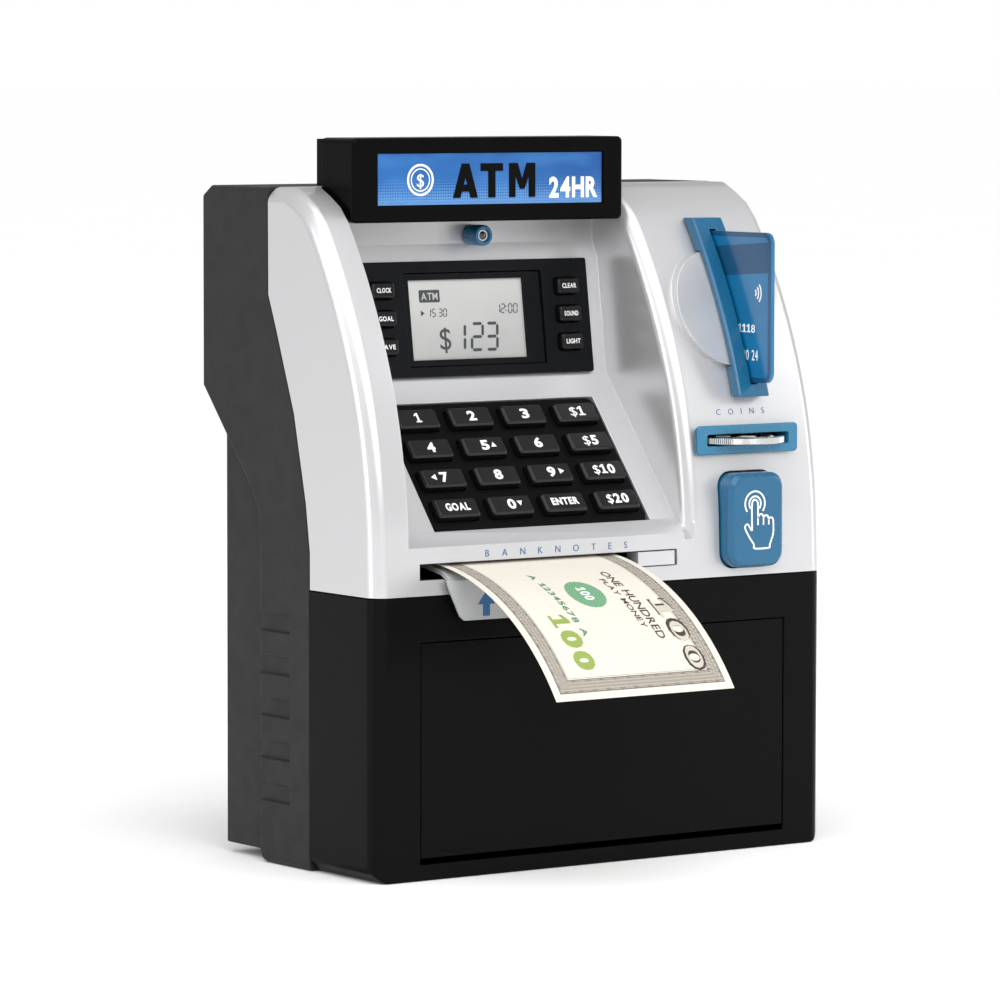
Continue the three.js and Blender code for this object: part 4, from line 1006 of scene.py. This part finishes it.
def coin_piece():
    """The reeded coin, with a plain star and a ring of beads on both faces."""
    x, y, z = COIN_CENTRE
    matrix = plane((x, y, z), (1, 0, 0), (0, 1, 0))
    coin = bmesh.new()
    reeds = 150
    sides = reeds * 2
    profile = [(0, COIN_HALF - 0.35), (9.6, COIN_HALF - 0.35), (9.9, COIN_HALF - 0.15), (10.2, COIN_HALF - 0.35),
               (13.3, COIN_HALF - 0.35), (13.8, COIN_HALF), (14.9, COIN_HALF), (15.15, COIN_HALF - 0.2),
               (15.15, 0.2 - COIN_HALF), (14.9, -COIN_HALF), (13.8, -COIN_HALF), (13.3, 0.35 - COIN_HALF),
               (0, 0.35 - COIN_HALF)]
    add_lathe(coin, profile, matrix, sides)
    inverse = matrix.inverted()
    for vertex in coin.verts:
        local = inverse @ vertex.co
        radius = math.hypot(local.x, local.y)
        if radius > 15.1 and round(math.atan2(local.y, local.x) / (2 * math.pi) * sides) % 2:
            local.x *= COIN_RADIUS / radius
            local.y *= COIN_RADIUS / radius
            vertex.co = matrix @ local
    made = piece("coin_struck", coin, COIN_SILVER, body_name("coin"), 30)
    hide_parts("coin")
    relief = bmesh.new()
    for side in (1, -1):
        face = on(matrix if side > 0 else matrix @ Matrix.Rotation(math.pi, 4, "X"), COIN_HALF - 0.33)
        star = []
        for k in range(10):
            radius = 6.6 if k % 2 == 0 else 2.8
            turn = math.radians(90 + 36 * k)
            star.append((radius * math.cos(turn), radius * math.sin(turn)))
        add_prism(relief, star, face, -0.02, 0.25)
        for k in range(40):
            turn = math.radians(9 * k)
            bead = rounded(11.7 * math.cos(turn), 11.7 * math.sin(turn), 0.8, 0.8, 0.39, 2)
            add_prism(relief, bead, face, -0.02, 0.2)
    piece("coin_relief", relief, COIN_SILVER, body_name("coin"))


def button_icon():
    """Generic touch sign: a pointing hand under two rings."""
    face = on(front_plane(BUTTON_PLACE[0] - 0.4, BUTTON_FRONT, BUTTON_PLACE[1]), 0.03)
    icon = bmesh.new()
    tip = (-0.9, 5.2)
    for radius, start, end in ((2.3, -42, 222), (3.9, -38, 218)):
        add_ribbon(icon, arc(*tip, radius, start, end, 24), 0.55, face)
    hand = [(-2.1, -0.6), (-2.1, 4.9), (-1.6, 6.2), (-0.7, 6.4), (0.1, 5.7), (0.3, 4.6), (0.3, 0.9), (0.9, 1.7),
            (2.0, 1.7), (2.5, 0.8), (3.1, 1.3), (4.1, 1.2), (4.6, 0.2), (5.2, 0.6), (6.1, 0.3), (6.4, -0.8),
            (6.4, -4.3), (5.6, -6.6), (5.0, -8.0), (4.6, -8.9), (-0.9, -8.9), (-1.3, -7.6), (-3.0, -5.4),
            (-4.7, -2.6), (-4.6, -1.5), (-3.6, -1.3), (-2.1, -3.2)]
    add_ribbon(icon, smooth_path([*hand, hand[0]])[:-1], 0.55, face, closed=True)
    for x, low, high in ((0.3, -1.6, 0.9), (2.5, -1.6, 0.8), (4.6, -1.6, 0.2)):
        add_ribbon(icon, [(x, low), (x, high)], 0.5, face)
    piece("button_icon", icon, WHITE_INK_AND_HIGHLIGHT, body_name("fingerprint_button"))


def card_pieces():
    """The card's darker rim, and its print on both faces."""
    refined("bank_card", CARD_BLUE, 0.12)
    body = body_name("bank_card")
    box_low, box_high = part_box("bank_card")
    centre_y = (box_low.y + box_high.y) / 2 / MM + DEPTH_TO_ORIGIN
    centre_z = (box_low.z + box_high.z) / 2 / MM
    length, height = (box_high.y - box_low.y) / MM, (box_high.z - box_low.z) / MM
    faces = (("left", plane((CARD_SIDES[0], centre_y, centre_z), (0, -1, 0), (0, 0, 1))),
             ("right", plane((CARD_SIDES[1], centre_y, centre_z), (0, 1, 0), (0, 0, 1))))
    for side, matrix in faces:
        where = on(matrix, 0.01)
        rim = bmesh.new()
        add_ribbon(rim, rounded(0, 0, length - 1.6, height - 1.6, 2.6, 6), 1.5, where, 0.03, closed=True)
        piece(f"card_rim_{side}", rim, CARD_EDGE, body)
        front = 1 if side == "left" else -1
        digits = [("1118", front * 23.6, -6.6, 2.6, 8.6), ("5000 24", front * 24.0, -14.9, 3.4, 11.0)]
        letters(f"card_digits_{side}", digits, where, WHITE_INK_AND_HIGHLIGHT, body, 0.05, 0.01)
        waves = bmesh.new()
        for radius in (1.4, 2.7, 4.0):
            add_ribbon(waves, arc(front * 27.0, 4.6, radius, -42, 42, 10), 0.55, where, 0.04)
        piece(f"card_waves_{side}", waves, WHITE_INK_AND_HIGHLIGHT, body)
        band = bmesh.new()
        end = length / 2 - 1.6
        add_prism(band, [(-end, 6.8), (-end, 16.0), (end, 20.6), (end, 11.0)], where, -0.02, 0.02)
        piece(f"card_band_{side}", band, CARD_EDGE, body)


def face_plane(x, z):
    """Plane on the silver front's skin at (x, z)."""
    mesh = NODES["front_fascia"].data
    skin = BVHTree.FromPolygons([v.co for v in mesh.vertices], [p.vertices for p in mesh.polygons])
    start = Vector((x * MM, -DEPTH_TO_ORIGIN * MM - 0.05, z * MM))
    place, normal, _, _ = skin.ray_cast(start, Vector((0, 1, 0)))
    place = place / MM
    return plane((place.x, place.y + DEPTH_TO_ORIGIN, place.z), (1, 0, 0), (0, abs(normal.z), -normal.y))


def pod_print():
    """The two words printed on the silver front."""
    coins = on(face_plane(56.2, 138.0), 0.04)
    letters("coins_print", [("COINS", 0, 0, 2.0, 19.0, True)], coins, BLUE_INK, HOUSING, 0.06, -0.012)
    notes = on(face_plane(-18.5, 98.5), 0.04)
    letters("banknotes_print", [("BANKNOTES", 0, 0, 2.2, 53.6, True)], notes, BLUE_INK, HOUSING, 0.06, -0.008)


# ---------------------------------------------------------------- screws and inner pieces

def screw_pieces():
    """The screws that close the case, each with its cross recess shown as a black mark of painted shade."""
    for place, (x, y, z) in SCREW_HEADS.items():
        node = f"case_screw_{place}"
        matrix = plane((x, y, z), (-1, 0, 0), (0, 0, 1))
        screw = bmesh.new()
        profile = [(0, -13), (0.9, -12.4), (1.2, -11), (1.2, -0.2), (2.7, 0.0), (2.7, 0.9), (2.3, 1.6), (1.4, 1.95),
                   (0, 2.0)]
        add_lathe(screw, profile, matrix, 32)
        made = piece(f"{node}_head", screw, STEEL, body_name(node), 40)
        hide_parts(node)
        # painted shade: a black cross at the head's top stands in for the dark of the cross recess
        cross = bmesh.new()
        for turn in (0, math.pi / 2):
            cosine, sine = math.cos(turn), math.sin(turn)
            outline = [(a * cosine - b * sine, a * sine + b * cosine)
                       for a, b in ((-1.35, -0.28), (1.35, -0.28), (1.35, 0.28), (-1.35, 0.28))]
            add_prism(cross, outline, on(matrix, 2.0), -0.2, 0.02)
        piece(f"{node}_cross", cross, BLACK_INK_AND_SHADE, body_name(node))


def inner_pieces():
    """Finishes of the CAD pieces inside the case, shown as they are."""
    for node in ("sign_light_board", "keypad_board", "main_board"):
        dressed(node, BOARD)
    for node in ("roller_gear", "motor_pinion", "door_latch", "door_strike"):
        dressed(node, NYLON)
    for node in ("feed_motor", "latch_solenoid"):
        dressed(node, STEEL)
    dressed("feed_roller", RUBBER)
    dressed("speaker", RUBBER)


make_camera()
make_studio()
case_pieces()
sign_print()
camera_pieces()
screen_pieces()
keypad_pieces()
note_pieces()
guide_arrow()
coin_piece()
button_icon()
card_pieces()
pod_print()
screw_pieces()
inner_pieces()
